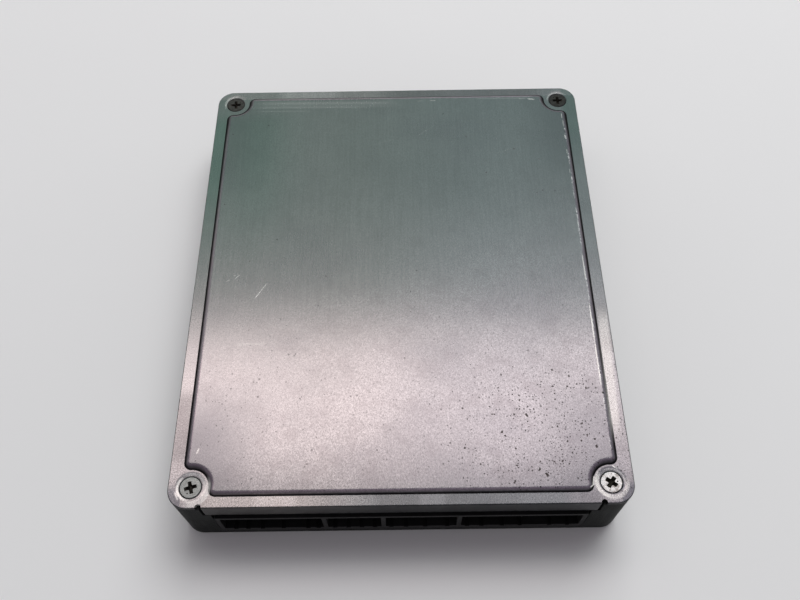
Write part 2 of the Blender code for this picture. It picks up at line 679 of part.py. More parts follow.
def build_housing():
    housing = stacked(
        "base_housing",
        [
            (case_outline(BOTTOM_CHAMFER), 0.0),
            (case_outline(0.0), BOTTOM_CHAMFER),
            (case_outline(0.0), BODY_HEIGHT),
        ],
        "cast_aluminium",
        smooth=True,
    )
    above = BODY_HEIGHT + OVERSHOOT
    sill_top = HEADER_BOTTOM - SEAT_GAP
    lip_room = LIP_HALF_LENGTH + RELIEF_RADIUS
    cavity = extruded(
        "cavity", cavity_outline(FRONT + SILL_THICKNESS, POST_INNER_X), FLOOR_THICKNESS, above
    )
    mouth = extruded(
        "mouth",
        rectangle(-POST_INNER_X, POST_INNER_X, FRONT - OVERSHOOT, POST_BACK - CAVITY_RADIUS),
        sill_top,
        above,
    )
    rebate = extruded(
        "lip_rebate",
        rectangle(-lip_room, lip_room, FRONT - OVERSHOOT, FRONT + SHEET + FIT_PLAY),
        LIP_BOTTOM - SEAT_GAP,
        above,
    )
    recess = extruded(
        "underside_recess",
        rectangle(
            -HALF_WIDTH + UNDERSIDE_FRAME,
            HALF_WIDTH - UNDERSIDE_FRAME,
            FRONT + UNDERSIDE_FRAME,
            BACK - UNDERSIDE_FRAME,
            CORNER_RADIUS,
        ),
        -OVERSHOOT,
        UNDERSIDE_RECESS,
    )
    cuts = [cavity, mouth, rebate, recess, *wall_pockets()]

    # Grooves in the posts that hold the header's flanges
    groove_front = HEADER_FRONT + FLANGE_SETBACK - FIT_PLAY
    groove_back = HEADER_FRONT + FLANGE_SETBACK + FLANGE_THICKNESS + FIT_PLAY
    groove_reach = HEADER_HALF_WIDTH + FLANGE_REACH + FIT_PLAY
    grooves = rectangle(-groove_reach, groove_reach, groove_front, groove_back)
    cuts.append(extruded("flange_grooves", grooves, HEADER_BOTTOM - SEAT_GAP, above))
    combine(housing, "DIFFERENCE", cuts)

    # Heat-sink ledge and board standoffs, each rooted a little into the wall or floor
    root = FLOOR_THICKNESS / 2
    ledge = extruded(
        "ledge",
        rectangle(-LEDGE_HALF_LENGTH, LEDGE_HALF_LENGTH, LEDGE_FACE, BACK - WALL_INSET - WALL_THICKNESS / 2),
        root,
        LEDGE_TOP,
    )
    standoffs = [
        extruded(f"standoff_{name}", circle(centre, STANDOFF_RADIUS, 16), root, STANDOFF_TOP)
        for name, centre in standoff_places()
    ]
    combine(housing, "UNION", [ledge, *standoffs])

    holes = []
    for name, position in cover_screw_places():
        chamfer_end = BODY_HEIGHT - (countersink_radius(BODY_HEIGHT) - COVER_SCREW_RADIUS - FIT_PLAY)
        bottom = COVER_SCREW_TOP - COVER_SCREW_LENGTH - COVER_SCREW_HOLE_SPARE
        overshoot = BODY_HEIGHT + SEAT_GAP
        hole = turned(
            f"cover_hole_{name}",
            [
                (0, bottom),
                (COVER_SCREW_RADIUS + FIT_PLAY, bottom),
                (COVER_SCREW_RADIUS + FIT_PLAY, chamfer_end),
                (countersink_radius(overshoot), overshoot),
                (0, overshoot),
            ],
            steps=16,
        )
        hole.location = (*position, 0)
        holes.append(hole)
    for name, position in standoff_places():
        bottom = STANDOFF_TOP - BOARD_SCREW_BITE - FIT_PLAY * 2
        top = STANDOFF_TOP + OVERSHOOT
        holes.append(screw_hole(f"board_hole_{name}", position, BOARD_SCREW_RADIUS + FIT_PLAY, bottom, top))
    for side_name, sign in SIDES.items():
        hole = turned(
            f"clamp_hole_{side_name}",
            [
                (0, 0),
                (BOARD_SCREW_RADIUS + FIT_PLAY, 0),
                (BOARD_SCREW_RADIUS + FIT_PLAY, OVERSHOOT + CLAMP_SCREW_BITE),
                (0, OVERSHOOT + CLAMP_SCREW_BITE),
            ],
            steps=16,
        )
        hole.rotation_euler.x = math.pi / 2
        hole.location = (sign * clamp_screw_x(), LEDGE_FACE + CLAMP_SCREW_BITE + FIT_PLAY, clamp_level())
        holes.append(hole)
    combine(housing, "DIFFERENCE", holes)


# Connector header

def bay_spans():
    """The left and right inner side of each bay."""
    left = -HEADER_HALF_WIDTH + HEADER_WALL
    for share in DIVIDER_SHARES:
        divider = share * HEADER_HALF_WIDTH
        yield left, divider - HEADER_WALL / 2
        left = divider + HEADER_WALL / 2
    yield left, HEADER_HALF_WIDTH - HEADER_WALL


def bay_outline(left, right, shares):
    """A bay's section: a flat ceiling, and keys standing on the floor between narrow gaps."""
    key_top = BAY_FLOOR + KEY_HEIGHT
    outline = [(left, key_top)]
    for share in shares:
        gap = left + (right - left) * share
        low, high = gap - KEY_GAP / 2, gap + KEY_GAP / 2
        outline += [(low, key_top), (low, BAY_FLOOR), (high, BAY_FLOOR), (high, key_top)]
    return outline + [(right, key_top), (right, BAY_CEILING), (left, BAY_CEILING)]


def pin_level(share):
    return HEADER_BOTTOM + (HEADER_TOP - HEADER_BOTTOM) * share


def build_header():
    shell = rectangle(
        -HEADER_HALF_WIDTH, HEADER_HALF_WIDTH, HEADER_BOTTOM, HEADER_TOP, HEADER_EDGE_RADIUS, 3
    )
    header = extruded("connector_header", shell, HEADER_FRONT, SKIRT_END, "black_plastic", along="Y")
    wall_middle = HEADER_HALF_WIDTH - HEADER_WALL / 2
    flange_front = HEADER_FRONT + FLANGE_SETBACK
    additions = []
    for name, sign in SIDES.items():
        flange = rectangle(
            *sorted((sign * wall_middle, sign * (HEADER_HALF_WIDTH + FLANGE_REACH))),
            HEADER_BOTTOM + HEADER_EDGE_RADIUS,
            HEADER_TOP - HEADER_EDGE_RADIUS,
        )
        additions.append(
            extruded(f"flange_{name}", flange, flange_front, flange_front + FLANGE_THICKNESS, along="Y")
        )
        ear = rectangle(
            *sorted((sign * wall_middle, sign * (HEADER_HALF_WIDTH + EAR_REACH))),
            EAR_END - EAR_LENGTH,
            EAR_END - HEADER_EDGE_RADIUS,
            HEADER_EDGE_RADIUS,
            2,
        )
        additions.append(extruded(f"ear_{name}", ear, ON_BOARD, ON_BOARD + EAR_THICKNESS))
    combine(header, "UNION", additions)

    cuts = []
    for index, ((left, right), shares) in enumerate(zip(bay_spans(), KEY_SHARES)):
        bay = bay_outline(left, right, shares)
        cuts.append(extruded(f"bay_{index}", bay, HEADER_FRONT - OVERSHOOT, BAY_END, along="Y"))
        for row, share in enumerate(PIN_ROW_SHARES):
            level = pin_level(share)
            slot = rectangle(
                left + PIN_SIDE_MARGIN / 2,
                right - PIN_SIDE_MARGIN / 2,
                level - PIN_SIZE / 2 - FIT_PLAY,
                level + PIN_SIZE / 2 + FIT_PLAY,
            )
            slot_ends = BAY_END - BACK_WALL / 2, BACK_WALL_REAR + BACK_WALL / 2
            cuts.append(extruded(f"slot_{index}_{row}", slot, *slot_ends, along="Y"))
        middle = (left + right) / 2
        window = rectangle(
            middle - LATCH_WIDTH / 2,
            middle + LATCH_WIDTH / 2,
            HEADER_FRONT + LATCH_SETBACK,
            HEADER_FRONT + LATCH_SETBACK + LATCH_LENGTH,
        )
        window_ends = BAY_CEILING - HEADER_WALL / 2, HEADER_TOP + HEADER_WALL
        cuts.append(extruded(f"latch_{index}", window, *window_ends))
    inside = rectangle(
        -HEADER_HALF_WIDTH + HEADER_WALL,
        HEADER_HALF_WIDTH - HEADER_WALL,
        HEADER_BOTTOM - OVERSHOOT,
        BAY_CEILING,
    )
    cuts.append(extruded("skirt_inside", inside, BACK_WALL_REAR, SKIRT_END + OVERSHOOT, along="Y"))
    over_board = rectangle(-HALF_WIDTH, HALF_WIDTH, HEADER_BOTTOM - OVERSHOOT, ON_BOARD)
    cuts.append(
        extruded("board_clearance", over_board, BOARD_FRONT - FIT_PLAY, SKIRT_END + OVERSHOOT, along="Y")
    )
    for name, sign in SIDES.items():
        cuts.append(
            screw_hole(
                f"ear_hole_{name}",
                (sign * BOARD_SCREW_X, FRONT_BOARD_SCREW_Y),
                BOARD_SCREW_RADIUS + FIT_PLAY,
                ON_BOARD - OVERSHOOT,
                ON_BOARD + OVERSHOOT,
            )
        )
    combine(header, "DIFFERENCE", cuts)


def pin_outline(level, bend_y):
    """A contact pin's side view: straight out of the bay, then down to the board."""
    low, high = level - PIN_SIZE / 2, level + PIN_SIZE / 2
    return [
        (BAY_END - PIN_REACH, low),
        (bend_y - PIN_SIZE, low),
        (bend_y - PIN_SIZE, ON_BOARD),
        (bend_y, ON_BOARD),
        (bend_y, high),
        (BAY_END - PIN_REACH, high),
    ]


def build_contact_blocks():
    for index, (left, right) in enumerate(bay_spans()):
        strip = rectangle(left + FIT_PLAY, right - FIT_PLAY, ON_BOARD, BAY_CEILING - FIT_PLAY)
        front = BACK_WALL_REAR + SEAT_GAP
        name = f"contact_block_{index + 1}"
        block = extruded(name, strip, front, front + CONTACT_STRIP, "tinned_brass", along="Y")
        usable = right - left - 2 * PIN_SIDE_MARGIN
        count = int(usable / PIN_PITCH) + 1
        first = (left + right - (count - 1) * PIN_PITCH) / 2
        pins = []
        for row, (share, setback) in enumerate(zip(PIN_ROW_SHARES, PIN_BEND_SETBACKS)):
            outline = pin_outline(pin_level(share), BACK_WALL_REAR + setback)
            for place in range(count):
                x = first + place * PIN_PITCH
                pin_name = f"pin_{index}_{row}_{place}"
                pins.append(extruded(pin_name, outline, x - PIN_SIZE / 2, x + PIN_SIZE / 2, along="X"))
        combine(block, "UNION", pins)


# Circuit board and what stands on it

def build_board():
    notch_x = HALF_WIDTH - BACK_BOSS_WIDTH - BOARD_SIDE_GAP
    notch_y = BACK - BACK_BOSS_DEPTH - BOARD_SIDE_GAP
    radius = BOARD_CORNER_RADIUS
    right = [
        (BOARD_HALF_WIDTH, BOARD_FRONT, radius),
        (BOARD_HALF_WIDTH, notch_y, radius),
        (notch_x, notch_y, radius),
        (notch_x, BOARD_BACK, radius),
    ]
    outline = rounded_outline(mirrored_outline(right), 3)
    board = extruded("circuit_board", outline, BOARD_BOTTOM, BOARD_TOP, "board_laminate")
    holes = [
        screw_hole(
            f"board_opening_{name}",
            position,
            BOARD_SCREW_RADIUS + FIT_PLAY,
            BOARD_BOTTOM - BOARD_THICKNESS,
            BOARD_TOP + BOARD_THICKNESS,
        )
        for name, position in standoff_places()
    ]
    combine(board, "DIFFERENCE", holes)


def pan_screw(name, shank_length):
    """An M3 screw with its head's underside at the origin."""
    profile = [
        (0, -shank_length),
        (BOARD_SCREW_RADIUS, -shank_length),
        (BOARD_SCREW_RADIUS, 0),
        (BOARD_SCREW_HEAD_RADIUS, 0),
        (BOARD_SCREW_HEAD_RADIUS, BOARD_SCREW_HEAD_HEIGHT - BOARD_SCREW_HEAD_BEVEL),
        (BOARD_SCREW_HEAD_RADIUS - BOARD_SCREW_HEAD_BEVEL, BOARD_SCREW_HEAD_HEIGHT),
        (0, BOARD_SCREW_HEAD_HEIGHT),
    ]
    screw = turned(name, profile, "zinc_steel", steps=16)
    add_recess(screw, BOARD_SCREW_HEAD_HEIGHT, BOARD_SCREW_RECESS)
    return screw


def build_board_screws():
    tip = STANDOFF_TOP - BOARD_SCREW_BITE
    for name, position in standoff_places():
        under_head = ON_BOARD
        if name.startswith("front"):
            under_head += EAR_THICKNESS + SEAT_GAP
        screw = pan_screw(f"board_screw_{name}", under_head - tip)
        screw.location = (*position, under_head)


def board_spot(name):
    across, along = BOARD_SPOTS[name]
    return across * BOARD_HALF_WIDTH, BOARD_MIDDLE + along * BOARD_HALF_LENGTH


def build_chip(name):
    """A package with bent leads on its sides."""
    width, length, height = CHIP_SIZES[name]
    side_leads, end_leads = CHIP_LEAD_COUNTS[name]
    x, y = board_spot(name)
    base = ON_BOARD + LEAD_STAND
    middle = base + height / 2
    x0, x1 = x - width / 2, x + width / 2
    y0, y1 = y - length / 2, y + length / 2
    drafted = rectangle(x0 + CHIP_DRAFT, x1 - CHIP_DRAFT, y0 + CHIP_DRAFT, y1 - CHIP_DRAFT)
    levels = [(drafted, base), (rectangle(x0, x1, y0, y1), middle), (drafted, base + height)]
    chip = stacked(name, levels, "package_black")
    half = LEAD_THICKNESS / 2
    leads = []
    for sign in (-1, 1):
        for along, count, low, high, other in (
            ("Y", side_leads, y0, y1, x0 if sign < 0 else x1),
            ("X", end_leads, x0, x1, y0 if sign < 0 else y1),
        ):
            root = other - sign * LEAD_ROOT
            out = other + sign * LEAD_REACH
            outline = [
                (root, middle - half),
                (out - sign * LEAD_THICKNESS, middle - half),
                (out - sign * LEAD_THICKNESS, ON_BOARD),
                (out, ON_BOARD),
                (out, middle + half),
                (root, middle + half),
            ]
            for place in range(count):
                at = low + (high - low) * (place + 1) / (count + 1)
                sides = at - LEAD_WIDTH / 2, at + LEAD_WIDTH / 2
                leads.append(extruded(f"{name}_lead_{along}_{sign}_{place}", outline, *sides, along=along))
    combine(chip, "UNION", leads)


def build_capacitor(name):
    """An aluminium can with a rolled neck over its rubber base."""
    radius, height = CAN_SIZES[name]
    neck = radius - CAN_NECK_DEPTH
    profile = [
        (0, 0),
        (radius, 0),
        (radius, CAN_NECK_LEVEL - CAN_NECK_DEPTH),
        (neck, CAN_NECK_LEVEL),
        (radius, CAN_NECK_LEVEL + CAN_NECK_DEPTH),
        (radius, height - CAN_NECK_DEPTH),
        (neck, height),
        (0, height),
    ]
    can = turned(name, profile, "can_aluminium", steps=16)
    can.location = (*board_spot(name), ON_BOARD)


def build_choke():
    """A wound drum core: two flanges and the coil between them."""
    profile = [
        (0, 0),
        (CHOKE_RADIUS, 0),
        (CHOKE_RADIUS, CHOKE_FLANGE),
        (CHOKE_COIL_RADIUS, CHOKE_FLANGE),
        (CHOKE_COIL_RADIUS, CHOKE_HEIGHT - CHOKE_FLANGE),
        (CHOKE_RADIUS, CHOKE_HEIGHT - CHOKE_FLANGE),
        (CHOKE_RADIUS, CHOKE_HEIGHT),
        (0, CHOKE_HEIGHT),
    ]
    choke = turned("choke_coil", profile, "package_black", steps=16)
    choke.location = (*board_spot("choke_coil"), ON_BOARD)


def build_crystal():
    """A flat oval can on a wider base flange."""
    def oval(inset):
        half_x, half_y = CRYSTAL_WIDTH / 2 - inset, CRYSTAL_DEPTH / 2 - inset
        return rectangle(x - half_x, x + half_x, y - half_y, y + half_y, half_y * CRYSTAL_END_ROUNDING, 4)

    x, y = board_spot("crystal")
    step = CRYSTAL_FLANGE
    stacked(
        "crystal",
        [
            (oval(0), ON_BOARD),
            (oval(0), ON_BOARD + step),
            (oval(step), ON_BOARD + step),
            (oval(step), ON_BOARD + CRYSTAL_HEIGHT - step),
            (oval(step * 2), ON_BOARD + CRYSTAL_HEIGHT),
        ],
        "can_aluminium",
    )


# Power transistors, clamped to the ledge

def build_transistor(name, x):
    half = TRANSISTOR_WIDTH / 2
    tab_half = half - TAB_SHOULDER
    tab = rectangle(x - tab_half, x + tab_half, TRANSISTOR_BASE + TAB_SHOULDER, TRANSISTOR_TOP)
    tab_front = TRANSISTOR_BACK - TRANSISTOR_TAB
    transistor = extruded(name, tab, tab_front, TRANSISTOR_BACK, "package_black", along="Y")
    body = rectangle(x - half, x + half, TRANSISTOR_BASE, TRANSISTOR_BODY_TOP)
    body_back = TRANSISTOR_BACK - TRANSISTOR_TAB / 2
    additions = [extruded(f"{name}_body", body, TRANSISTOR_FRONT, body_back, along="Y")]
    leg_half = TRANSISTOR_LEG / 2
    leg_y = (TRANSISTOR_FRONT + TRANSISTOR_BACK) / 2
    for place in (-1, 0, 1):
        leg_x = x + place * TRANSISTOR_LEG_PITCH
        leg = rectangle(leg_x - leg_half, leg_x + leg_half, leg_y - leg_half, leg_y + leg_half)
        additions.append(extruded(f"{name}_leg_{place}", leg, ON_BOARD, TRANSISTOR_BASE + TRANSISTOR_LEG))
    combine(transistor, "UNION", additions)
    hole = extruded(
        f"{name}_hole",
        circle((x, (TRANSISTOR_BODY_TOP + TRANSISTOR_TOP) / 2), TAB_HOLE_RADIUS, 12),
        TRANSISTOR_BACK - OVERSHOOT,
        TRANSISTOR_BACK + OVERSHOOT,
        along="Y",
    )
    combine(transistor, "DIFFERENCE", [hole])


def build_power_stage():
    for index in range(TRANSISTOR_COUNT):
        x = (index - (TRANSISTOR_COUNT - 1) / 2) * TRANSISTOR_PITCH
        build_transistor(f"transistor_{index + 1}", x)
    pad = rectangle(
        -INSULATOR_HALF_LENGTH,
        INSULATOR_HALF_LENGTH,
        (ON_BOARD + TRANSISTOR_BASE) / 2,
        LEDGE_TOP,
    )
    back = LEDGE_FACE - SEAT_GAP
    extruded("insulating_strip", pad, back - INSULATOR_THICKNESS, back, "mica_pad", along="Y")

    bar_back = TRANSISTOR_FRONT - SEAT_GAP
    bar_front = bar_back - CLAMP_THICKNESS
    foot_back = LEDGE_FACE - SEAT_GAP
    foot_front = foot_back - CLAMP_THICKNESS
    bend = CLAMP_BEND_X
    right = [
        (bend, bar_front, CLAMP_THICKNESS),
        (bend, foot_front, 0),
        (bend + CLAMP_FOOT, foot_front, 0),
        (bend + CLAMP_FOOT, foot_back, 0),
        (bend - CLAMP_THICKNESS, foot_back, 0),
        (bend - CLAMP_THICKNESS, bar_back, 0),
    ]
    level = clamp_level()
    outline = rounded_outline(mirrored_outline(right), 3)
    bar = extruded("clamp_bar", outline, level - CLAMP_HEIGHT / 2, level + CLAMP_HEIGHT / 2, "spring_steel")
    holes = []
    for name, sign in SIDES.items():
        x = sign * clamp_screw_x()
        opening = circle((x, level), BOARD_SCREW_RADIUS + FIT_PLAY, 16)
        hole_ends = foot_front - FIT_PLAY, foot_back + FIT_PLAY
        holes.append(extruded(f"foot_hole_{name}", opening, *hole_ends, along="Y"))
        screw = pan_screw(f"clamp_screw_{name}", CLAMP_SCREW_BITE + CLAMP_THICKNESS + 2 * SEAT_GAP)
        screw.rotation_euler.x = math.pi / 2
        screw.location = (x, foot_front - SEAT_GAP, level)
    combine(bar, "DIFFERENCE", holes)


def main():
    clear_scene()
    build_cover()
    build_cover_screws()
    build_housing()
    build_header()
    build_contact_blocks()
    build_board()
    build_board_screws()
    for name in CHIP_SIZES:
        build_chip(name)
    for name in CAN_SIZES:
        build_capacitor(name)
    build_choke()
    build_crystal()
    build_power_stage()


main()
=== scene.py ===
"""Engine control unit: the looks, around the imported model. Metres, +Z up, the connectors face -Y."""

import math

import bmesh
import bpy
from mathutils import Matrix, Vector
from mathutils.geometry import tessellate_polygon


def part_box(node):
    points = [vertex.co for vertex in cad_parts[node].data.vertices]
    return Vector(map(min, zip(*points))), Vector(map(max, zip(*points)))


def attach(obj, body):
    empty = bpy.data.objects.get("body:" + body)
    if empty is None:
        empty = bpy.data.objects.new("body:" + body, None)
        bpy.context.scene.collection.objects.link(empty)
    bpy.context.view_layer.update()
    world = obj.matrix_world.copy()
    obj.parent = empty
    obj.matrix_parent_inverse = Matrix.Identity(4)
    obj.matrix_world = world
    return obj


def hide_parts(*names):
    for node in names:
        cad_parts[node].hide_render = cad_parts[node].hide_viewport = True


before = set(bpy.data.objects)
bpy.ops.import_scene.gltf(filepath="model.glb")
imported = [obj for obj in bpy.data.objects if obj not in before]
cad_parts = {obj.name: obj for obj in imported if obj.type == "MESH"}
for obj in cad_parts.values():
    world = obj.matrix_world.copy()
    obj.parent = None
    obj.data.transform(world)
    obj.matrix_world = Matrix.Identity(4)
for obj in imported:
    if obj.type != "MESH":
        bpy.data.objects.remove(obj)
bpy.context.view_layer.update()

MM = 0.001

# Sizes that the solids have
HALF_WIDTH = 75.0 * MM
FRONT = -88.75 * MM
BACK = 89.55 * MM
UNDER_COVER = 28.5 * MM
RIM_TOP = 30.0 * MM
SHEET = 1.5 * MM
CORNER_RADIUS = 6.5 * MM
PANEL_RISE = 1.0 * MM
PANEL_WALL = 1.9 * MM
PANEL_EASE = 2.6
PANEL_RIM_SIDE = 4.8 * MM
PANEL_RIM_END = {"front": 4.0 * MM, "back": 4.25 * MM}
PANEL_END_WALL = {"front": 0.8, "back": 1.0}
NOTCH_RADIUS = 6.1 * MM
NOTCH_FILLET = 2.2 * MM
LIP_HALF_LENGTH = 63.6 * MM
LIP_BOTTOM = 22.3 * MM
LIP_BEND = 0.4 * MM
RELIEF_RADIUS = 1.0 * MM
DIMPLE_RADIUS = 5.3 * MM
DIMPLE_DEPTH = 0.1 * MM
HEAD_RADIUS = 3.42 * MM
HEAD_LAND = 0.2 * MM
COUNTERSINK_PLAY = 0.12 * MM
SCREW_RADIUS = 2.0 * MM
RECESS_DEPTH = 1.6 * MM
RECESS_REACH = 2.6 * MM
SCREW_LENGTH = 10.0 * MM
SCREW_TOP = 29.85 * MM
SCREW_INSET_X = 7.37 * MM
SCREW_INSET_Y = 6.91 * MM
SCREW_X = HALF_WIDTH - SCREW_INSET_X
SCREW_Y = {"front": FRONT + SCREW_INSET_Y, "back": BACK - SCREW_INSET_Y}
SIDES = {"left": -1, "right": 1}

SEAT_GAP = 0.3 * MM
BODY_HEIGHT = 28.2 * MM
BOTTOM_CHAMFER = 0.8 * MM
FLOOR_THICKNESS = 2.8 * MM
POST_INNER_X = 62.0 * MM
POST_BACK = FRONT + 16.0 * MM
WALL_INNER_X = 72.0 * MM
WALL_INNER_BACK = BACK - 3.0 * MM
BOSS_SIZE = 14.0 * MM
HEADER_FRONT = FRONT - 0.8 * MM
HEADER_SIDE_GAP = 0.8 * MM
HEADER_BOTTOM = 6.4 * MM
HEADER_TOP = 20.9 * MM
HEADER_WALL = 1.5 * MM
BAY_END = HEADER_FRONT + 15.0 * MM
ON_BOARD = 7.3 * MM
DIVIDER_SHARES = (-0.417, -0.098, 0.314)
KEY_SHARES = (
    (0.11, 0.23, 0.38, 0.59, 0.84, 0.945),
    (0.125, 0.375, 0.625, 0.875),
    (0.075, 0.285, 0.56, 0.875),
    (0.055, 0.177, 0.353, 0.504, 0.756, 0.907),
)
PIN_ROW_SHARES = (0.386, 0.662)

# Cuts in the housing and the header: how far cutters reach past a surface, pockets, pads, keys and slots
PAST = 5 * MM
UNDER_MARGIN = 9 * MM
POCKET_DEPTH = 0.6 * MM
POCKET_MARGIN = 3 * MM
POCKET_FILLET = 2 * MM
BRACKET_Y = 45 * MM
BRACKET_PAD = 7 * MM
BRACKET_HOLE_DEPTH = 1.8 * MM
BRACKET_HOLE_RADIUS = 2.1 * MM
SKIRT_END = BAY_END + 12.5 * MM
FLANGE_ROOT = 0.7 * MM
FLANGE_INSET = 0.6 * MM
KEY_HEIGHT = 1 * MM
KEY_GAP = 0.75 * MM
PIN_SLOT = 0.62 * MM

# Screw heads: their edge, the cross (reach, roundings), and the cross and the dot as (scale or radius, level)
HEAD_EDGE = 0.12 * MM
CROSS_REACH = 2.02 * MM
CROSS_TIP = 0.12 * MM
CROSS_ROOT = 0.25 * MM
RECESS_LEVELS = ((0.55, -RECESS_DEPTH), (0.96, -0.12 * MM), (1.12, 0.2 * MM))
DOT_LEVELS = ((0.06 * MM, -0.22 * MM), (0.22 * MM, -0.1 * MM), (0.3 * MM, 0.1 * MM))

# Inner parts: how far leads reach out of a chip, which ways they point, and where transistor legs end
LEAD_OUT = 1.15 * MM
CHIPS = {
    "microcontroller": (0, 1),
    "program_memory": (0,),
    "input_chip": (0,),
    "driver_chip_left": (0,),
    "driver_chip_right": (0,),
}
LEG_TOP = 10.3 * MM

# Each cover screw: turn of its cross in degrees, place of its dot from the middle, half width of an arm
SCREWS = {
    "front_left": (16.0, (-0.85 * MM, -1.95 * MM), 0.60 * MM),
    "front_right": (-36.0, (2.0 * MM, 0.25 * MM), 0.70 * MM),
    "back_left": (5.0, (1.6 * MM, 1.5 * MM), 0.58 * MM),
    "back_right": (0.0, (-1.5 * MM, 1.6 * MM), 0.58 * MM),
}

# Scratches and scuffs on the cover, with some painted highlights among them: middle in mm, angle in degrees,
# length and width in mm, strength
SCRATCHES_AND_HIGHLIGHTS = (
    (-59.3, -3.2, 47, 3, 0.24, 0.85),
    (-60.4, -2.6, -20, 1.2, 0.22, 0.55),
    (-50.2, -9.4, 58, 8.6, 0.28, 1),
    (-62.5, -4.8, 38, 1.6, 0.28, 0.6),
    (-6, 60, 18, 14, 0.30, 0.12),
    (12, 66, 38, 10, 0.25, 0.12),
    (44, 55, 20, 12, 0.25, 0.14),
    (15.3, 82.4, 0, 3, 0.45, 0.5),
    (9.6, 82.3, 4, 1.8, 0.4, 0.35),
    (-66.3, -70, 70, 2.2, 0.6, 0.9),
    # Bright marks at the front screws' notches and dimples: partly nicks, partly painted highlights where
    # these slopes catch the lamp
    (61.3, -83, 40, 2.6, 0.5, 1),
    (61.9, -81.3, 78, 3.6, 0.7, 0.9),
    (69.3, -77, -38, 2.4, 0.5, 0.9),
    (-62.2, -84.6, 30, 1.6, 0.9, 0.8),
    (-71.9, -84.6, -62, 3.4, 0.7, 0.75),
    (-67.8, -77.7, 6, 3, 0.6, 0.55),
    # The next one is a broad painted highlight along the right rim
    (72, -42, 88, 56, 5, 0.55),
    (44, 83.1, 0, 26, 0.5, 0.2),
    (56.4, 82.5, -12, 3.4, 1, 0.6),
    (52.6, 82.8, 4, 3, 0.5, 0.35),
    (-52, -31, 1, 13, 1.2, 0.22),
    (68.4, -1, 90, 13, 0.5, 0.7),
    (68.4, -24, 90, 17, 0.55, 1),
    (68.4, -40, 90, 19, 0.5, 1),
    (68.2, 73, 90, 3, 0.4, 0.75),
    (68.4, 69, 88, 3.6, 0.35, 0.65),
    (68.3, 62, 90, 2, 0.35, 0.7),
    (68.3, 54, 90, 2.6, 0.35, 0.6),
    (68.3, 44, 90, 2.4, 0.35, 0.5),
)

# Soft streaks along the back of the panel, with the same numbers
STREAKS = (
    (-30, 81.2, -0.5, 70, 5, 0.07),
    (-30, 81.8, -0.5, 66, 1.6, 0.17),
    (-36, 79.6, -0.5, 56, 1.4, 0.13),
    (-47, 77.6, -0.5, 26, 0.9, 0.09),
)

# Painted highlights and painted shade on the rims, paler and darker patches: middle in mm, angle in degrees,
# length and width in mm, level
RIM_LIGHT_AND_SHADE = (
    (72.4, -25, 90, 24, 8, 0.80),
    (72.4, -66, 90, 16, 8, 0.87),
    (-72.4, -61, 90, 30, 8, 0.67),
    (-40, -86.9, 0, 16, 6, 1.20),
    (-15, -86.9, 0, 18, 6, 1.16),
    (10, -86.9, 0, 10, 6, 1.24),
    (47, -86.9, 0, 22, 6, 1.16),
    (60, -86.9, 0, 8, 6, 0.86),
    (-37, 87.6, 0, 30, 6.4, 1.28),
    (28, 87.6, 0, 85, 6.4, 0.75),
)

# Nicks in the cover: middle in mm, angle in degrees, length and width in mm
NICKS = (
    (47, -79.5, 115, 1.7, 0.95),
    (52.5, -75, 60, 1, 0.7),
    (49.8, -75.2, 20, 0.9, 0.7),
    (45.2, -75.1, 90, 0.8, 0.6),
    (36.5, -81.7, 70, 1.5, 0.6),
    (37.7, -76.3, 0, 0.9, 0.6),
    (42.2, -59, 125, 1.6, 0.9),
    (31.1, -58.5, 0, 1.4, 0.6),
    (33.6, -64.8, 60, 1.2, 0.8),
    (34.6, -66.2, 130, 1, 0.6),
    (57.9, -44.9, 90, 1, 0.6),
    (63.2, -49.4, 90, 1.2, 0.6),
    (61.5, -66.4, 80, 1.1, 0.6),
    (60.2, -62.2, 40, 0.9, 0.7),
    (-30.3, -74.9, 0, 0.8, 0.5),
    (19.2, 74.9, 60, 0.9, 0.55),
)

# Painted highlights on the rings round the screws, where the dimples' slopes would catch the lamp: screw,
# angle in degrees, inner and outer radius in mm, strength
RING_HIGHLIGHTS = (
    ("front", "left", 195, 3.7, 4.9, 1),
    ("front", "left", 62, 4, 5.2, 0.55),
    ("front", "left", -38, 4.4, 6.9, 0.6),
    ("front", "right", 205, 4, 5.6, 0.85),
    ("front", "right", 58, 4, 4.9, 0.6),
    ("front", "right", -55, 4.2, 6, 0.5),
    ("back", "left", 140, 3.7, 4.9, 0.45),
    ("back", "right", 115, 3.7, 4.8, 0.35),
)

# Edge roundings that only the looks have, and how finely the cover is drawn
RIM_ROUNDING = 0.35 * MM
LIP_ROUNDING = 0.25 * MM
# How dark the lip and the sheet's edge are painted: painted shade
LIP_PAINTED_SHADE = 0.83
EDGE_PAINTED_SHADE = 0.9
ROUND_STEPS = 64
CORNER_STEPS = 20
RIM_STEPS = 5
DIMPLE_STEPS = 6
PANEL_STEPS = 14
PANEL_BUNCHING = 1.3
PANEL_START = 0.06 * MM
UNDER_START = 0.5 * MM
UNDER_WALL = 1.0 * MM
UNDER_STEPS = 4

# Where the cover's side rims begin, and its corners, for tints and stains
LEFT_RIM = -69.6 * MM
RIGHT_RIM = 69.8 * MM
CORNER_X = 70.5 * MM

# Rings at the foot of the panel: inset and rise in mm, grime and painted shade
FOOT_RINGS = ((-0.7, 0.0, 0.0), (-0.5, 0.0, 0.1), (-0.3, 0.0, 0.9), (-0.1, 0.02, 1.0))

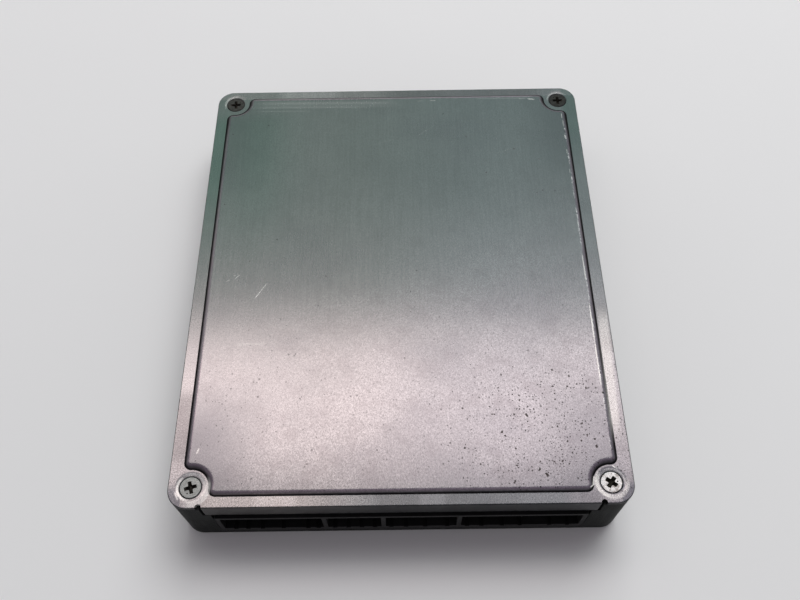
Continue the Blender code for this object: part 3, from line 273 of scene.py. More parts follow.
# Light: the backdrop's level, and the panels overhead as spans in x and y, (radiance, height), colour
BACKDROP_LEVEL = 0.80
SKY_LOW_NORTH = (0.196, 0.254, 0.238, 1.0)
SKY_NORTH = (0.236, 0.286, 0.272, 1.0)
SKY_ZENITH = (0.23, 0.205, 0.235, 1.0)
SKY_SOUTH = (0.19, 0.182, 0.20, 1.0)
CEILING_PANELS = (
    ("band_wide", (-0.85, 0.62), (0.285, 0.60), (0.86, 1.20), (1.26, 1.0, 1.02)),
    ("band_left", (-0.75, 0.02), (0.36, 0.57), (0.26, 1.19), (1.25, 1.0, 0.99)),
    ("band_right", (0.04, 0.66), (0.59, 0.84), (0.13, 1.21), (1.05, 1.0, 1.06)),
)
FILL_PLACE = (0.35, 0.85, 1.6)
FILL_SIZE = 1.3
FILL_RADIANCE = 4.5
FILL_COLOUR = (0.985, 1.0, 1.0)
LIGHT_PATH_RAYS = (0, 3, 6)

# Camera, fitted to the cover's edges in the photo
LENS = 37.054
CAMERA_PLACE = (1.41711 * MM, -162.68422 * MM, 288.47388 * MM)
CAMERA_RIGHT = (0.99989815, -0.01040536, -0.00976797)
CAMERA_UP = (0.01389571, 0.86588842, 0.50004415)
CAMERA_BACK = (0.00325484, -0.50012896, 0.86594482)


def linked(name, data):
    item = bpy.data.objects.new(name, data)
    bpy.context.scene.collection.objects.link(item)
    return item


def add_camera():
    data = bpy.data.cameras.new("camera")
    data.lens = LENS
    data.sensor_width = 36.0
    data.clip_start = 0.01
    data.clip_end = 50.0
    camera = linked("camera", data)
    turn = Matrix([tuple(row) for row in zip(CAMERA_RIGHT, CAMERA_UP, CAMERA_BACK)]).to_4x4()
    camera.matrix_world = Matrix.Translation(CAMERA_PLACE) @ turn
    bpy.context.scene.camera = camera


def add_area(name, place, target, size, radiance, glossy=True):
    """A soft lamp whose face shows the given radiance."""
    data = bpy.data.lights.new(name, "AREA")
    data.shape = "RECTANGLE"
    data.size, data.size_y = size
    data.energy = radiance * math.pi * size[0] * size[1]
    lamp = linked(name, data)
    lamp.location = place
    towards = Matrix.Translation(target).translation - lamp.location
    lamp.rotation_euler = towards.to_track_quat("-Z", "Y").to_euler()
    lamp.visible_glossy = glossy
    lamp.visible_camera = False
    return lamp


def math_node(operation, swapped=False):
    """An operator of values that builds one math node."""
    def build(value, other=0.0):
        pair = (other, value) if swapped else (value, other)
        return value.graph.math(operation, *pair)
    return build


class Value:
    """What a node gives out. Sums, products and comparisons of values build the math nodes."""

    def __init__(self, graph, socket):
        self.graph = graph
        self.socket = socket

    __abs__ = math_node("ABSOLUTE")
    __add__ = math_node("ADD")
    __sub__ = math_node("SUBTRACT")
    __rsub__ = math_node("SUBTRACT", swapped=True)
    __mul__ = math_node("MULTIPLY")
    __truediv__ = math_node("DIVIDE")
    __gt__ = math_node("GREATER_THAN")
    __lt__ = math_node("LESS_THAN")


class Graph:
    """Short calls that build the nodes of a material or the world."""

    def __init__(self, owner, shader="Principled BSDF"):
        self.owner = owner
        owner.use_nodes = True
        self.tree = owner.node_tree
        self.shader = self.tree.nodes[shader]

    def node(self, kind, inputs=None, output=0, **settings):
        node = self.tree.nodes.new(kind)
        for key, value in settings.items():
            setattr(node, key, value)
        for key, value in (inputs or {}).items():
            self.put(node.inputs[key], value)
        return Value(self, node.outputs[output])

    def put(self, socket, value):
        if isinstance(value, Value):
            self.tree.links.new(value.socket, socket)
        else:
            socket.default_value = value

    def set(self, **values):
        for key, value in values.items():
            name = key.replace("_", " ")
            self.put(self.shader.inputs[name], value)

    def math(self, operation, first, second=0.0, third=0.0):
        return self.node("ShaderNodeMath", {0: first, 1: second, 2: third}, operation=operation)

    def most(self, first, second):
        return self.math("MAXIMUM", first, second)

    def muladd(self, value, factor, extra):
        return self.math("MULTIPLY_ADD", value, factor, extra)

    def place(self):
        return self.node("ShaderNodeTexCoord", output=3)

    def distance(self, vector, centre):
        return self.node("ShaderNodeVectorMath", {0: vector, 1: centre}, output=1, operation="DISTANCE")

    def parts(self, vector):
        node = self.tree.nodes.new("ShaderNodeSeparateXYZ")
        self.put(node.inputs[0], vector)
        return [Value(self, output) for output in node.outputs]

    def stretched(self, vector, scale, offset=(0.0, 0.0, 0.0)):
        return self.node("ShaderNodeMapping", {"Vector": vector, "Scale": scale, "Location": offset})

    def noise(self, vector, scale=1.0, detail=2.0, roughness=0.5):
        settings = {"Vector": vector, "Scale": scale, "Detail": detail, "Roughness": roughness}
        return self.node("ShaderNodeTexNoise", settings)

    def spread(self, value, low, high, to_low=0.0, to_high=1.0):
        inputs = {0: value, 1: low, 2: high, 3: to_low, 4: to_high}
        return self.node("ShaderNodeMapRange", inputs, interpolation_type="SMOOTHSTEP")

    def fall(self, value, low, high):
        return self.spread(value, low, high, 1.0, 0.0)

    def ramp(self, value, low, high, first, second, share=1.0):
        """From the first colour to a share of the second, as the value rises."""
        return self.blend(self.spread(value, low, high, 0.0, share), first, second)

    def blend(self, share, first, second, **settings):
        inputs = {0: share, 6: first, 7: second}
        return self.node("ShaderNodeMix", inputs, 2, data_type="RGBA", **settings)

    def tinted(self, share, colour, tint):
        return self.blend(share, colour, tint, blend_type="MULTIPLY")

    def ragged(self, vector, scale, amount):
        """The same places, each moved a little its own way, so that marks lose their round shape."""
        noise = self.node("ShaderNodeTexNoise", {"Vector": vector, "Scale": scale, "Detail": 1.0}, output=1)
        shifts = self.node("ShaderNodeVectorMath", {0: noise, 1: (0.5, 0.5, 0.5)}, operation="SUBTRACT")
        inputs = {0: shifts, 1: (amount, amount, amount), 2: vector}
        return self.node("ShaderNodeVectorMath", inputs, operation="MULTIPLY_ADD")

    def flat_cells(self, vector, scale, radius, chance):
        """Round marks of a radius in metres, in a share of the cells, each of its own size."""
        inputs = {"Vector": vector, "Scale": scale}
        distance = self.node("ShaderNodeTexVoronoi", inputs, voronoi_dimensions="2D")
        own = Value(self, distance.socket.node.outputs["Color"])
        first, second, _ = self.parts(own)
        size = self.spread(second, 0.0, 1.0, 0.45, 1.0) * (radius * scale)
        return (distance < size) * (first < chance)

    def stroke(self, vector, at_x, at_y, angle, length, width):
        """A straight mark on a surface that faces up, with soft ends. Millimetres and degrees."""
        length, width = length * MM, width * MM
        turn = (0.0, 0.0, math.radians(angle))
        inputs = {"Vector": vector, "Location": (at_x * MM, at_y * MM, 0.0), "Rotation": turn}
        along, across, _ = self.parts(self.node("ShaderNodeMapping", inputs, vector_type="TEXTURE"))
        along, across = abs(along), abs(across)
        return self.fall(along, length * 0.3, length * 0.5) * self.fall(across, width * 0.2, width * 0.5)

    def crescent(self, vector, centre, angle, inner, outer):
        """Part of a ring round a point, brightest towards the angle, with soft edges."""
        away = self.distance(vector, centre)
        ring = self.spread(away, inner, inner + 0.3 * MM) * self.fall(away, outer - 0.5 * MM, outer)
        x, y, _ = self.parts(vector)
        dx = (x - centre[0]) * math.cos(math.radians(angle))
        dy = (y - centre[1]) * math.sin(math.radians(angle))
        towards = (dx + dy) / away
        return ring * self.spread(towards, 0.2, 0.75)

    def attribute(self, name):
        return self.node("ShaderNodeAttribute", output=2, attribute_name=name)

    def bump(self, height, distance, strength=1.0, under=None):
        inputs = {"Height": height, "Distance": distance, "Strength": strength}
        if under is not None:
            inputs["Normal"] = under
        return self.node("ShaderNodeBump", inputs)

    def bumped(self, *height):
        """The material, with its bump as the last thing set."""
        self.set(Normal=self.bump(*height))
        return self.owner


def grey(level, tint=(1.0, 1.0, 1.0)):
    return (*(level * part for part in tint), 1.0)


def new_material(name):
    """A material's graph, and the places on the part that its patterns start from."""
    g = Graph(bpy.data.materials.new(name))
    return g, g.place()


# Outlines, as the solids have them but finer

def arc(centre, radius, start, end, steps):
    points = []
    for step in range(steps + 1):
        angle = math.radians(start + (end - start) * step / steps)
        points.append((centre[0] + radius * math.cos(angle), centre[1] + radius * math.sin(angle)))
    return points


def circle(centre, radius, steps):
    return arc(centre, radius, 0, 360, steps)[:-1]


def panel_outline(inset):
    """The raised panel's outline, with a round notch about each cover screw."""
    notch = NOTCH_RADIUS + inset
    fillet = NOTCH_FILLET - inset
    side = SCREW_INSET_X - PANEL_RIM_SIDE - inset
    side_centre = (side - fillet, -math.sqrt((notch + fillet) ** 2 - (side - fillet) ** 2))
    side_angle = math.degrees(math.atan2(-side_centre[1], -side_centre[0]))
    corners = {}
    for end_name, rim in PANEL_RIM_END.items():
        end = SCREW_INSET_Y - rim - inset * PANEL_END_WALL[end_name]
        end_centre = (-math.sqrt((notch + fillet) ** 2 - (end - fillet) ** 2), end - fillet)
        end_angle = math.degrees(math.atan2(-end_centre[1], -end_centre[0]))
        corner = arc(side_centre, fillet, 0, side_angle, 10)
        corner += arc((0, 0), notch, side_angle - 180, end_angle - 180, 24)[1:-1]
        corners[end_name] = corner + arc(end_centre, fillet, end_angle, 90, 10)
    outline = []
    for x_sign, end_name in ((1, "front"), (1, "back"), (-1, "back"), (-1, "front")):
        y_sign = -1 if end_name == "front" else 1
        placed = [(x_sign * (SCREW_X + x), SCREW_Y[end_name] + y_sign * y) for x, y in corners[end_name]]
        outline += placed if x_sign == y_sign else placed[::-1]
    return outline


def cover_edge(inset):
    """The cover's outline from the lip's right end round to its left. The relief notches keep their size."""
    relief_y = FRONT + LIP_BEND
    relief_x = LIP_HALF_LENGTH + RELIEF_RADIUS
    right = arc((relief_x, relief_y), RELIEF_RADIUS, 180, 0, CORNER_STEPS)
    right.append((relief_x + RELIEF_RADIUS, FRONT + inset))
    corner = (HALF_WIDTH - CORNER_RADIUS, FRONT + CORNER_RADIUS)
    right += arc(corner, CORNER_RADIUS - inset, -90, 0, CORNER_STEPS)
    corner = (HALF_WIDTH - CORNER_RADIUS, BACK - CORNER_RADIUS)
    right += arc(corner, CORNER_RADIUS - inset, 0, 90, CORNER_STEPS)
    return right + [(-x, y) for x, y in reversed(right)]


def countersink_radius(level):
    return max(HEAD_RADIUS - (SCREW_TOP - HEAD_LAND - level) + COUNTERSINK_PLAY, SCREW_RADIUS)


def screw_places():
    for end_name, y in SCREW_Y.items():
        for side_name, sign in SIDES.items():
            yield f"{end_name}_{side_name}", (sign * SCREW_X, y)


# Meshes

def bridge(bm, rings, closed=True):
    """Joins each ring of points to the next with four-sided faces."""
    for lower, upper in zip(rings, rings[1:]):
        for index in range(len(lower) if closed else len(lower) - 1):
            after = (index + 1) % len(lower)
            bm.faces.new((lower[index], lower[after], upper[after], upper[index]))


class Mesh:
    """A mesh in the making, with two numbers on each point: how worn it is and how much grime and painted
    shade it keeps.
    """

    def __init__(self):
        self.bm = bmesh.new()
        self.wear = self.bm.verts.layers.float.new("wear")
        self.grime_and_shade = self.bm.verts.layers.float.new("grime_and_shade")

    def ring(self, outline, level, wear=0.0, grime_and_shade=0.0):
        return [self.point((u, v, level), wear, grime_and_shade) for u, v in outline]

    def point(self, place, wear=0.0, grime_and_shade=0.0):
        vert = self.bm.verts.new(place)
        vert[self.wear] = wear
        vert[self.grime_and_shade] = grime_and_shade
        return vert

    def tube(self, rings, closed=True):
        bridge(self.bm, rings, closed)

    def fill(self, rings):
        verts = [vert for loop in rings for vert in loop]
        for corners in tessellate_polygon([[vert.co for vert in loop] for loop in rings]):
            self.bm.faces.new([verts[corner] for corner in corners])


def soft_step(share):
    return share * share * (3 - 2 * share)


def build_cover(material):
    mesh = Mesh()

    # Outer edge: a rounded top corner, then straight down, painted dark from the rounding down as painted
    # shade
    rings = []
    for step in range(RIM_STEPS + 1):
        angle = math.pi / 2 * step / RIM_STEPS
        inset = RIM_ROUNDING * (1 - math.sin(angle))
        level = RIM_TOP - RIM_ROUNDING * (1 - math.cos(angle))
        rings.append(mesh.ring(cover_edge(inset), level, grime_and_shade=min(EDGE_PAINTED_SHADE, EDGE_PAINTED_SHADE / 2 * step)))
    rings.append(mesh.ring(cover_edge(0.0), RIM_TOP - 0.8 * MM, grime_and_shade=EDGE_PAINTED_SHADE))
    rings.append(mesh.ring(cover_edge(0.0), UNDER_COVER, grime_and_shade=1.0))
    mesh.tube(rings, closed=False)
    right_end = [ring[0] for ring in rings]
    left_end = [ring[-1] for ring in rings]

    # Folded lip, with rounded lower edges, painted nearly black as painted shade
    bend = arc((FRONT + LIP_BEND, RIM_TOP - LIP_BEND), LIP_BEND, 90, 180, 6)[1:]
    foot = arc((FRONT + LIP_ROUNDING, LIP_BOTTOM + LIP_ROUNDING), LIP_ROUNDING, 180, 270, 4)
    foot += arc((FRONT + SHEET - LIP_ROUNDING, LIP_BOTTOM + LIP_ROUNDING), LIP_ROUNDING, 270, 360, 4)
    section = bend + foot + [(FRONT + SHEET, UNDER_COVER)]
    sections = []
    for x, edge in ((LIP_HALF_LENGTH, right_end), (-LIP_HALF_LENGTH, left_end)):
        verts = [edge[0]] + [mesh.point((x, y, z), grime_and_shade=LIP_PAINTED_SHADE) for y, z in section]
        mesh.bm.faces.new(verts + edge[:0:-1])
        sections.append(verts)
    mesh.tube(sections, closed=False)
    top_edge = rings[0]
    under_edge = rings[-1] + [sections[1][-1], sections[0][-1]]

    # Screw dimples with countersunk holes
    dimples = []
    holes = []
    for _, centre in screw_places():
        inner = countersink_radius(RIM_TOP - DIMPLE_DEPTH)
        rings = []
        for step in range(DIMPLE_STEPS + 1):
            share = step / DIMPLE_STEPS
            outline = circle(centre, DIMPLE_RADIUS + (inner - DIMPLE_RADIUS) * share, ROUND_STEPS)
            level = RIM_TOP - DIMPLE_DEPTH * soft_step(share)
            rings.append(mesh.ring(outline, level, grime_and_shade=0.65 * share ** 6))
        outline = circle(centre, countersink_radius(UNDER_COVER), ROUND_STEPS)
        rings.append(mesh.ring(outline, UNDER_COVER, grime_and_shade=1.0))
        mesh.tube(rings)
        dimples.append(rings[0])
        holes.append(rings[-1])

    # Raised panel, outside; its wall darkens towards its foot, partly grime and partly painted shade
    rings = []
    for inset, rise, grime_and_shade in FOOT_RINGS:
        rings.append(mesh.ring(panel_outline(inset * MM), RIM_TOP + rise * MM, grime_and_shade=grime_and_shade))
    for step in range(PANEL_STEPS + 1):
        share = (step / PANEL_STEPS) ** PANEL_BUNCHING
        level = RIM_TOP + PANEL_START + (PANEL_RISE - PANEL_START) * (1 - (1 - share) ** PANEL_EASE)
        wear = max(0.0, 1 - abs(share - 0.8) / 0.2)
        rings.append(mesh.ring(panel_outline(PANEL_WALL * share), level, wear, 1 - share))
    rings.append(mesh.ring(panel_outline(PANEL_WALL + 0.2 * MM), RIM_TOP + PANEL_RISE))
    mesh.tube(rings)
    mesh.bm.faces.new(rings[-1])
    mesh.fill([top_edge, rings[0], *dimples])

    # Underside
    rings = []
    for step in range(UNDER_STEPS + 1):
        share = step / UNDER_STEPS
        outline = panel_outline(UNDER_START + UNDER_WALL * share)
        rings.append(mesh.ring(outline, UNDER_COVER + PANEL_RISE * soft_step(share)))
    mesh.tube(rings)
    mesh.bm.faces.new(rings[-1])
    mesh.fill([under_edge, rings[0], *holes])

    cover = raw_object("cover_sheet", mesh.bm)
    finish_piece(cover, material, "cover_aluminium", "top_cover", sharp=40)
    lay_grain(cover)


def lay_grain(cover):
    """The grain runs along Y, along X on the front and back rims, and up and down on the lip."""
    data = cover.data
    layer = data.uv_layers.new(name="grain")
    edge_front = FRONT + PANEL_RIM_END["front"]
    edge_back = BACK - PANEL_RIM_END["back"]
    for face in data.polygons:
        steep = abs(face.normal.z) < 0.5
        if steep and abs(face.normal.y) > 0.5:
            order = (0, 2)
        elif steep:
            order = (1, 2)
        elif face.center.y < edge_front or face.center.y > edge_back:
            order = (1, 0)
        else:
            order = (0, 1)
        for loop in face.loop_indices:
            place = data.vertices[data.loops[loop].vertex_index].co
            layer.data[loop].uv = (place[order[0]], place[order[1]])


# Solids that are cut to shape

def rounded_outline(corners, steps=8):
    """A closed outline through (u, v, radius) corners, each with its own fillet."""
    points = []
    for index, (u, v, radius) in enumerate(corners):
        if radius <= 0:
            points.append((u, v))
            continue
        towards = []
        for other in (corners[index - 1], corners[(index + 1) % len(corners)]):
            du, dv = other[0] - u, other[1] - v
            length = math.hypot(du, dv)
            towards.append((du / length, dv / length))
        (au, av), (bu, bv) = towards
        half = math.acos(max(-1.0, min(1.0, au * bu + av * bv))) / 2
        reach = radius / math.tan(half)
        mid_u, mid_v = au + bu, av + bv
        scale = radius / math.sin(half) / math.hypot(mid_u, mid_v)
        centre = (u + mid_u * scale, v + mid_v * scale)
        start = math.degrees(math.atan2(v + av * reach - centre[1], u + au * reach - centre[0]))
        end = math.degrees(math.atan2(v + bv * reach - centre[1], u + bu * reach - centre[0]))
        turn = (end - start + 180) % 360 - 180
        points.extend(arc(centre, radius, start, start + turn, steps))
    return points


def rectangle(u0, u1, v0, v1, radius=0.0, steps=8):
    return rounded_outline([(u0, v0, radius), (u1, v0, radius), (u1, v1, radius), (u0, v1, radius)], steps)


def raw_object(name, bm):
    bmesh.ops.recalc_face_normals(bm, faces=bm.faces)
    data = bpy.data.meshes.new(name)
    bm.to_mesh(data)
    bm.free()
    return linked(name, data)


def stacked(name, levels):
    bm = bmesh.new()
    rings = [[bm.verts.new((u, v, level)) for u, v in outline] for outline, level in levels]
    bridge(bm, rings)
    bm.faces.new(rings[0])
    bm.faces.new(rings[-1])
    return raw_object(name, bm)


def prism(name, outline, low, high, along="Z"):
    """A straight solid. Along Y the outline is in X and Z; along X it is in Y and Z."""
    item = stacked(name, [(outline, low), (outline, high)])
    turns = {
        "Z": Matrix.Identity(4),
        "Y": Matrix(((1, 0, 0, 0), (0, 0, 1, 0), (0, 1, 0, 0), (0, 0, 0, 1))),
        "X": Matrix(((0, 0, 1, 0), (1, 0, 0, 0), (0, 1, 0, 0), (0, 0, 0, 1))),
    }
    item.data.transform(turns[along])
    if along == "Y":
        item.data.flip_normals()
    return item


def turned(name, profile, steps=40):
    return stacked(name, [(circle((0, 0), radius, steps), level) for radius, level in profile])


def settle(item):
    """Puts what the modifiers make into the mesh."""
    depsgraph = bpy.context.evaluated_depsgraph_get()
    result = bpy.data.meshes.new_from_object(item.evaluated_get(depsgraph))
    item.modifiers.clear()
    item.data = result


def combine(target, operation, tools):
    """Joins the tools to the target, or cuts them from it, and removes them."""
    group = bpy.data.collections.new("tools")
    bpy.context.scene.collection.children.link(group)
    for tool in tools:
        bpy.context.scene.collection.objects.unlink(tool)
        group.objects.link(tool)
    modifier = target.modifiers.new("cut", "BOOLEAN")
    modifier.operation = operation
    modifier.solver = "EXACT"
    modifier.operand_type = "COLLECTION"
    modifier.collection = group
    bpy.context.view_layer.update()
    settle(target)
    for tool in tools:
        bpy.data.objects.remove(tool)
    bpy.data.collections.remove(group)


def round_edges(item, width, segments=2, angle=40):
    bevel = item.modifiers.new("round", "BEVEL")
    bevel.width = width
    bevel.segments = segments
    bevel.limit_method = "ANGLE"
    bevel.angle_limit = math.radians(angle)
    bevel.use_clamp_overlap = True
    settle(item)


def finish_piece(item, material, slot, *replaced, sharp=38):
    data = item.data
    data.materials.clear()
    data.materials.append(material)
    data.shade_smooth()
    data.set_sharp_from_angle(angle=math.radians(sharp))
    weighted = item.modifiers.new("even_shading", "WEIGHTED_NORMAL")
    weighted.keep_sharp = True
    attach(item, "root")
    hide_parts(*replaced)
    return item


def mirrored(right_half):
    return right_half + [(-x, y, radius) for x, y, radius in reversed(right_half)]


def case_outline(inset):
    half = HALF_WIDTH - inset
    return rectangle(-half, half, FRONT + inset, BACK - inset, CORNER_RADIUS - inset, CORNER_STEPS)


def sideways(sign, near, far):
    """The span in X from near to far on one side."""
    return sorted((sign * near, sign * far))


def build_housing(material):
    levels = []
    for step in range(5):
        angle = math.radians(22.5 * step)
        inset = BOTTOM_CHAMFER * (1 - math.sin(angle))
        levels.append((case_outline(inset), BOTTOM_CHAMFER * (1 - math.cos(angle))))
    levels.append((case_outline(0.0), BODY_HEIGHT - 0.2 * MM))
    levels.append((case_outline(0.2 * MM), BODY_HEIGHT))
    housing = stacked("housing_casting", levels)
    above = BODY_HEIGHT + PAST
    before = FRONT - PAST
    boss_x, boss_y = HALF_WIDTH - BOSS_SIZE, BACK - BOSS_SIZE
    right = [
        (POST_INNER_X, FRONT + 2.5 * MM, 0.0),
        (POST_INNER_X, POST_BACK, 2 * MM),
        (WALL_INNER_X, POST_BACK, 2 * MM),
        (WALL_INNER_X, boss_y, 2 * MM),
        (boss_x, boss_y, 5 * MM),
        (boss_x, WALL_INNER_BACK, 2 * MM),
    ]
    cuts = [prism("cavity", rounded_outline(mirrored(right), 6), FLOOR_THICKNESS, above)]
    header_room = HEADER_BOTTOM - SEAT_GAP
    lip_room = LIP_HALF_LENGTH + RELIEF_RADIUS
    groove = POST_INNER_X - HEADER_SIDE_GAP + 3.3 * MM
    for name, half, front, back, low in (
        ("mouth", POST_INNER_X, before, POST_BACK - 2 * MM, header_room),
        ("rebate", lip_room, before, FRONT + SHEET + SEAT_GAP, LIP_BOTTOM - SEAT_GAP),
        ("groove", groove, HEADER_FRONT + 5.7 * MM, HEADER_FRONT + 8.3 * MM, header_room),
    ):
        cuts.append(prism(name, rectangle(-half, half, front, back), low, above))
    half = HALF_WIDTH - UNDER_MARGIN
    under = rectangle(-half, half, FRONT + UNDER_MARGIN, BACK - UNDER_MARGIN, CORNER_RADIUS, 12)
    cuts.append(prism("under", under, -PAST, POCKET_DEPTH))
    middle = (FRONT + BACK) / 2
    pads = (middle - BRACKET_Y, middle + BRACKET_Y)
    spans = (
        (POST_BACK, pads[0] - BRACKET_PAD),
        (pads[0] + BRACKET_PAD, pads[1] - BRACKET_PAD),
        (pads[1] + BRACKET_PAD, boss_y),
    )
    heights = (POCKET_MARGIN, BODY_HEIGHT - POCKET_MARGIN, POCKET_FILLET)
    outside = HALF_WIDTH + PAST
    for sign in SIDES.values():
        for index, span in enumerate(spans):
            wall = sideways(sign, HALF_WIDTH - POCKET_DEPTH, outside)
            cuts.append(prism(f"pocket_{sign}_{index}", rectangle(*span, *heights), *wall, "X"))
        for index, y in enumerate(pads):
            wall = sideways(sign, HALF_WIDTH - BRACKET_HOLE_DEPTH, outside)
            hole = circle((y, BODY_HEIGHT / 2), BRACKET_HOLE_RADIUS, 32)
            cuts.append(prism(f"hole_{sign}_{index}", hole, *wall, "X"))
    outline = rectangle(-boss_x, boss_x, *heights)
    cuts.append(prism("pocket_back", outline, BACK - POCKET_DEPTH, BACK + PAST, "Y"))
    combine(housing, "DIFFERENCE", cuts)
    reach = SCREW_RADIUS + SEAT_GAP
    top = countersink_radius(BODY_HEIGHT)
    profile = [(reach, 16 * MM), (reach, BODY_HEIGHT - (top - reach)), (top + 1 * MM, BODY_HEIGHT + 1 * MM)]
    holes = []
    for name, (x, y) in screw_places():
        hole = turned(f"hole_{name}", profile)
        hole.location = (x, y, 0)
        holes.append(hole)
    combine(housing, "DIFFERENCE", holes)
    round_edges(housing, 0.3 * MM)
    finish_piece(housing, material, "cast_aluminium", "base_housing")


def bay_spans():
    half = POST_INNER_X - HEADER_SIDE_GAP
    left = -half + HEADER_WALL
    for share in DIVIDER_SHARES:
        yield left, share * half - HEADER_WALL / 2
        left = share * half + HEADER_WALL / 2
    yield left, half - HEADER_WALL


def build_header(material):
    half = POST_INNER_X - HEADER_SIDE_GAP
    shell = rectangle(-half, half, HEADER_BOTTOM, HEADER_TOP, 0.6 * MM, 5)
    header = prism("header_moulding", shell, HEADER_FRONT, SKIRT_END, "Y")
    root = half - FLANGE_ROOT
    parts = []
    for sign in SIDES.values():
        sides = sideways(sign, root, half + 3 * MM)
        flange = rectangle(*sides, HEADER_BOTTOM + FLANGE_INSET, HEADER_TOP - FLANGE_INSET)
        parts.append(prism(f"flange_{sign}", flange, HEADER_FRONT + 6 * MM, HEADER_FRONT + 8 * MM, "Y"))
        sides = sideways(sign, root, half + 9.3 * MM)
        ear = rectangle(*sides, SKIRT_END - 10 * MM, SKIRT_END - FLANGE_INSET, 0.6 * MM, 3)
        parts.append(prism(f"ear_{sign}", ear, ON_BOARD, ON_BOARD + 3 * MM))
    combine(header, "UNION", parts)
    floor, ceiling = HEADER_BOTTOM + HEADER_WALL, HEADER_TOP - HEADER_WALL
    top = floor + KEY_HEIGHT
    cuts = []
    for index, ((left, right), shares) in enumerate(zip(bay_spans(), KEY_SHARES)):
        outline = [(left, top)]
        for share in shares:
            gap = left + (right - left) * share
            low, high = gap - KEY_GAP, gap + KEY_GAP
            outline += [(low, top), (low, floor), (high, floor), (high, top)]
        outline += [(right, top), (right, ceiling), (left, ceiling)]
        cuts.append(prism(f"bay_{index}", outline, HEADER_FRONT - PAST, BAY_END, "Y"))
        for row, share in enumerate(PIN_ROW_SHARES):
            level = HEADER_BOTTOM + (HEADER_TOP - HEADER_BOTTOM) * share
            slot = rectangle(left + KEY_GAP, right - KEY_GAP, level - PIN_SLOT, level + PIN_SLOT)
            cuts.append(prism(f"slot_{index}_{row}", slot, BAY_END - 1 * MM, BAY_END + 3 * MM, "Y"))
        middle = (left + right) / 2
        window = rectangle(middle - 3.5 * MM, middle + 3.5 * MM, HEADER_FRONT + 5 * MM, HEADER_FRONT + 9 * MM)
        cuts.append(prism(f"latch_{index}", window, ceiling - 0.75 * MM, HEADER_TOP + 1.5 * MM))
    inside = rectangle(-half + HEADER_WALL, half - HEADER_WALL, HEADER_BOTTOM - PAST, ceiling)
    cuts.append(prism("skirt", inside, BAY_END + 2 * MM, SKIRT_END + PAST, "Y"))
    over_board = rectangle(-HALF_WIDTH, HALF_WIDTH, HEADER_BOTTOM - PAST, ON_BOARD)
    cuts.append(prism("board_room", over_board, BAY_END + 3.2 * MM, SKIRT_END + PAST, "Y"))
    combine(header, "DIFFERENCE", cuts)
    round_edges(header, 0.2 * MM)
    finish_piece(header, material, "black_plastic", "connector_header")


def cross(scale, arm):
    arm, reach = arm * scale, CROSS_REACH * scale
    tip, root = CROSS_TIP * scale, CROSS_ROOT * scale
    quarter = [(reach, -arm, tip), (reach, arm, tip), (arm, arm, root)]
    corners = []
    for _ in range(4):
        corners += quarter
        quarter = [(-y, x, radius) for x, y, radius in quarter]
    return rounded_outline(corners, 3)


def build_screw(name, place, turn, dot, arm, material, grime):
    """A countersunk screw with a soft rim, a tapered cross recess and the small round dot beside it."""
    profile = [
        (1.4 * MM, -SCREW_LENGTH),
        (SCREW_RADIUS, -SCREW_LENGTH + 0.6 * MM),
        (SCREW_RADIUS, -HEAD_LAND - HEAD_RADIUS + SCREW_RADIUS),
        (HEAD_RADIUS, -HEAD_LAND),
    ]
    for angle in map(math.radians, (0, 30, 60, 90)):
        profile.append((HEAD_RADIUS - HEAD_EDGE * (1 - math.cos(angle)), -HEAD_EDGE * (1 - math.sin(angle))))
    screw = turned(f"screw_{name}", profile, ROUND_STEPS)
    recess = stacked("recess", [(cross(scale, arm), level) for scale, level in RECESS_LEVELS])
    mark = stacked("dot", [(circle(dot, radius, 16), level) for radius, level in DOT_LEVELS])
    recess.rotation_euler.z = math.radians(turn)
    combine(screw, "DIFFERENCE", [recess, mark])
    deep = []
    for face in screw.data.polygons:
        x, y, z = face.center
        if math.hypot(x, y) < RECESS_REACH and -RECESS_DEPTH - 0.1 * MM < z < -0.05 * MM:
            deep.append(face.index)
    screw.data.transform(Matrix.Translation((*place, SCREW_TOP)))
    finish_piece(screw, material, "zinc_steel", f"cover_screw_{name}")
    screw.data.materials.append(grime)
    for index in deep:
        screw.data.polygons[index].material_index = 1


# Materials

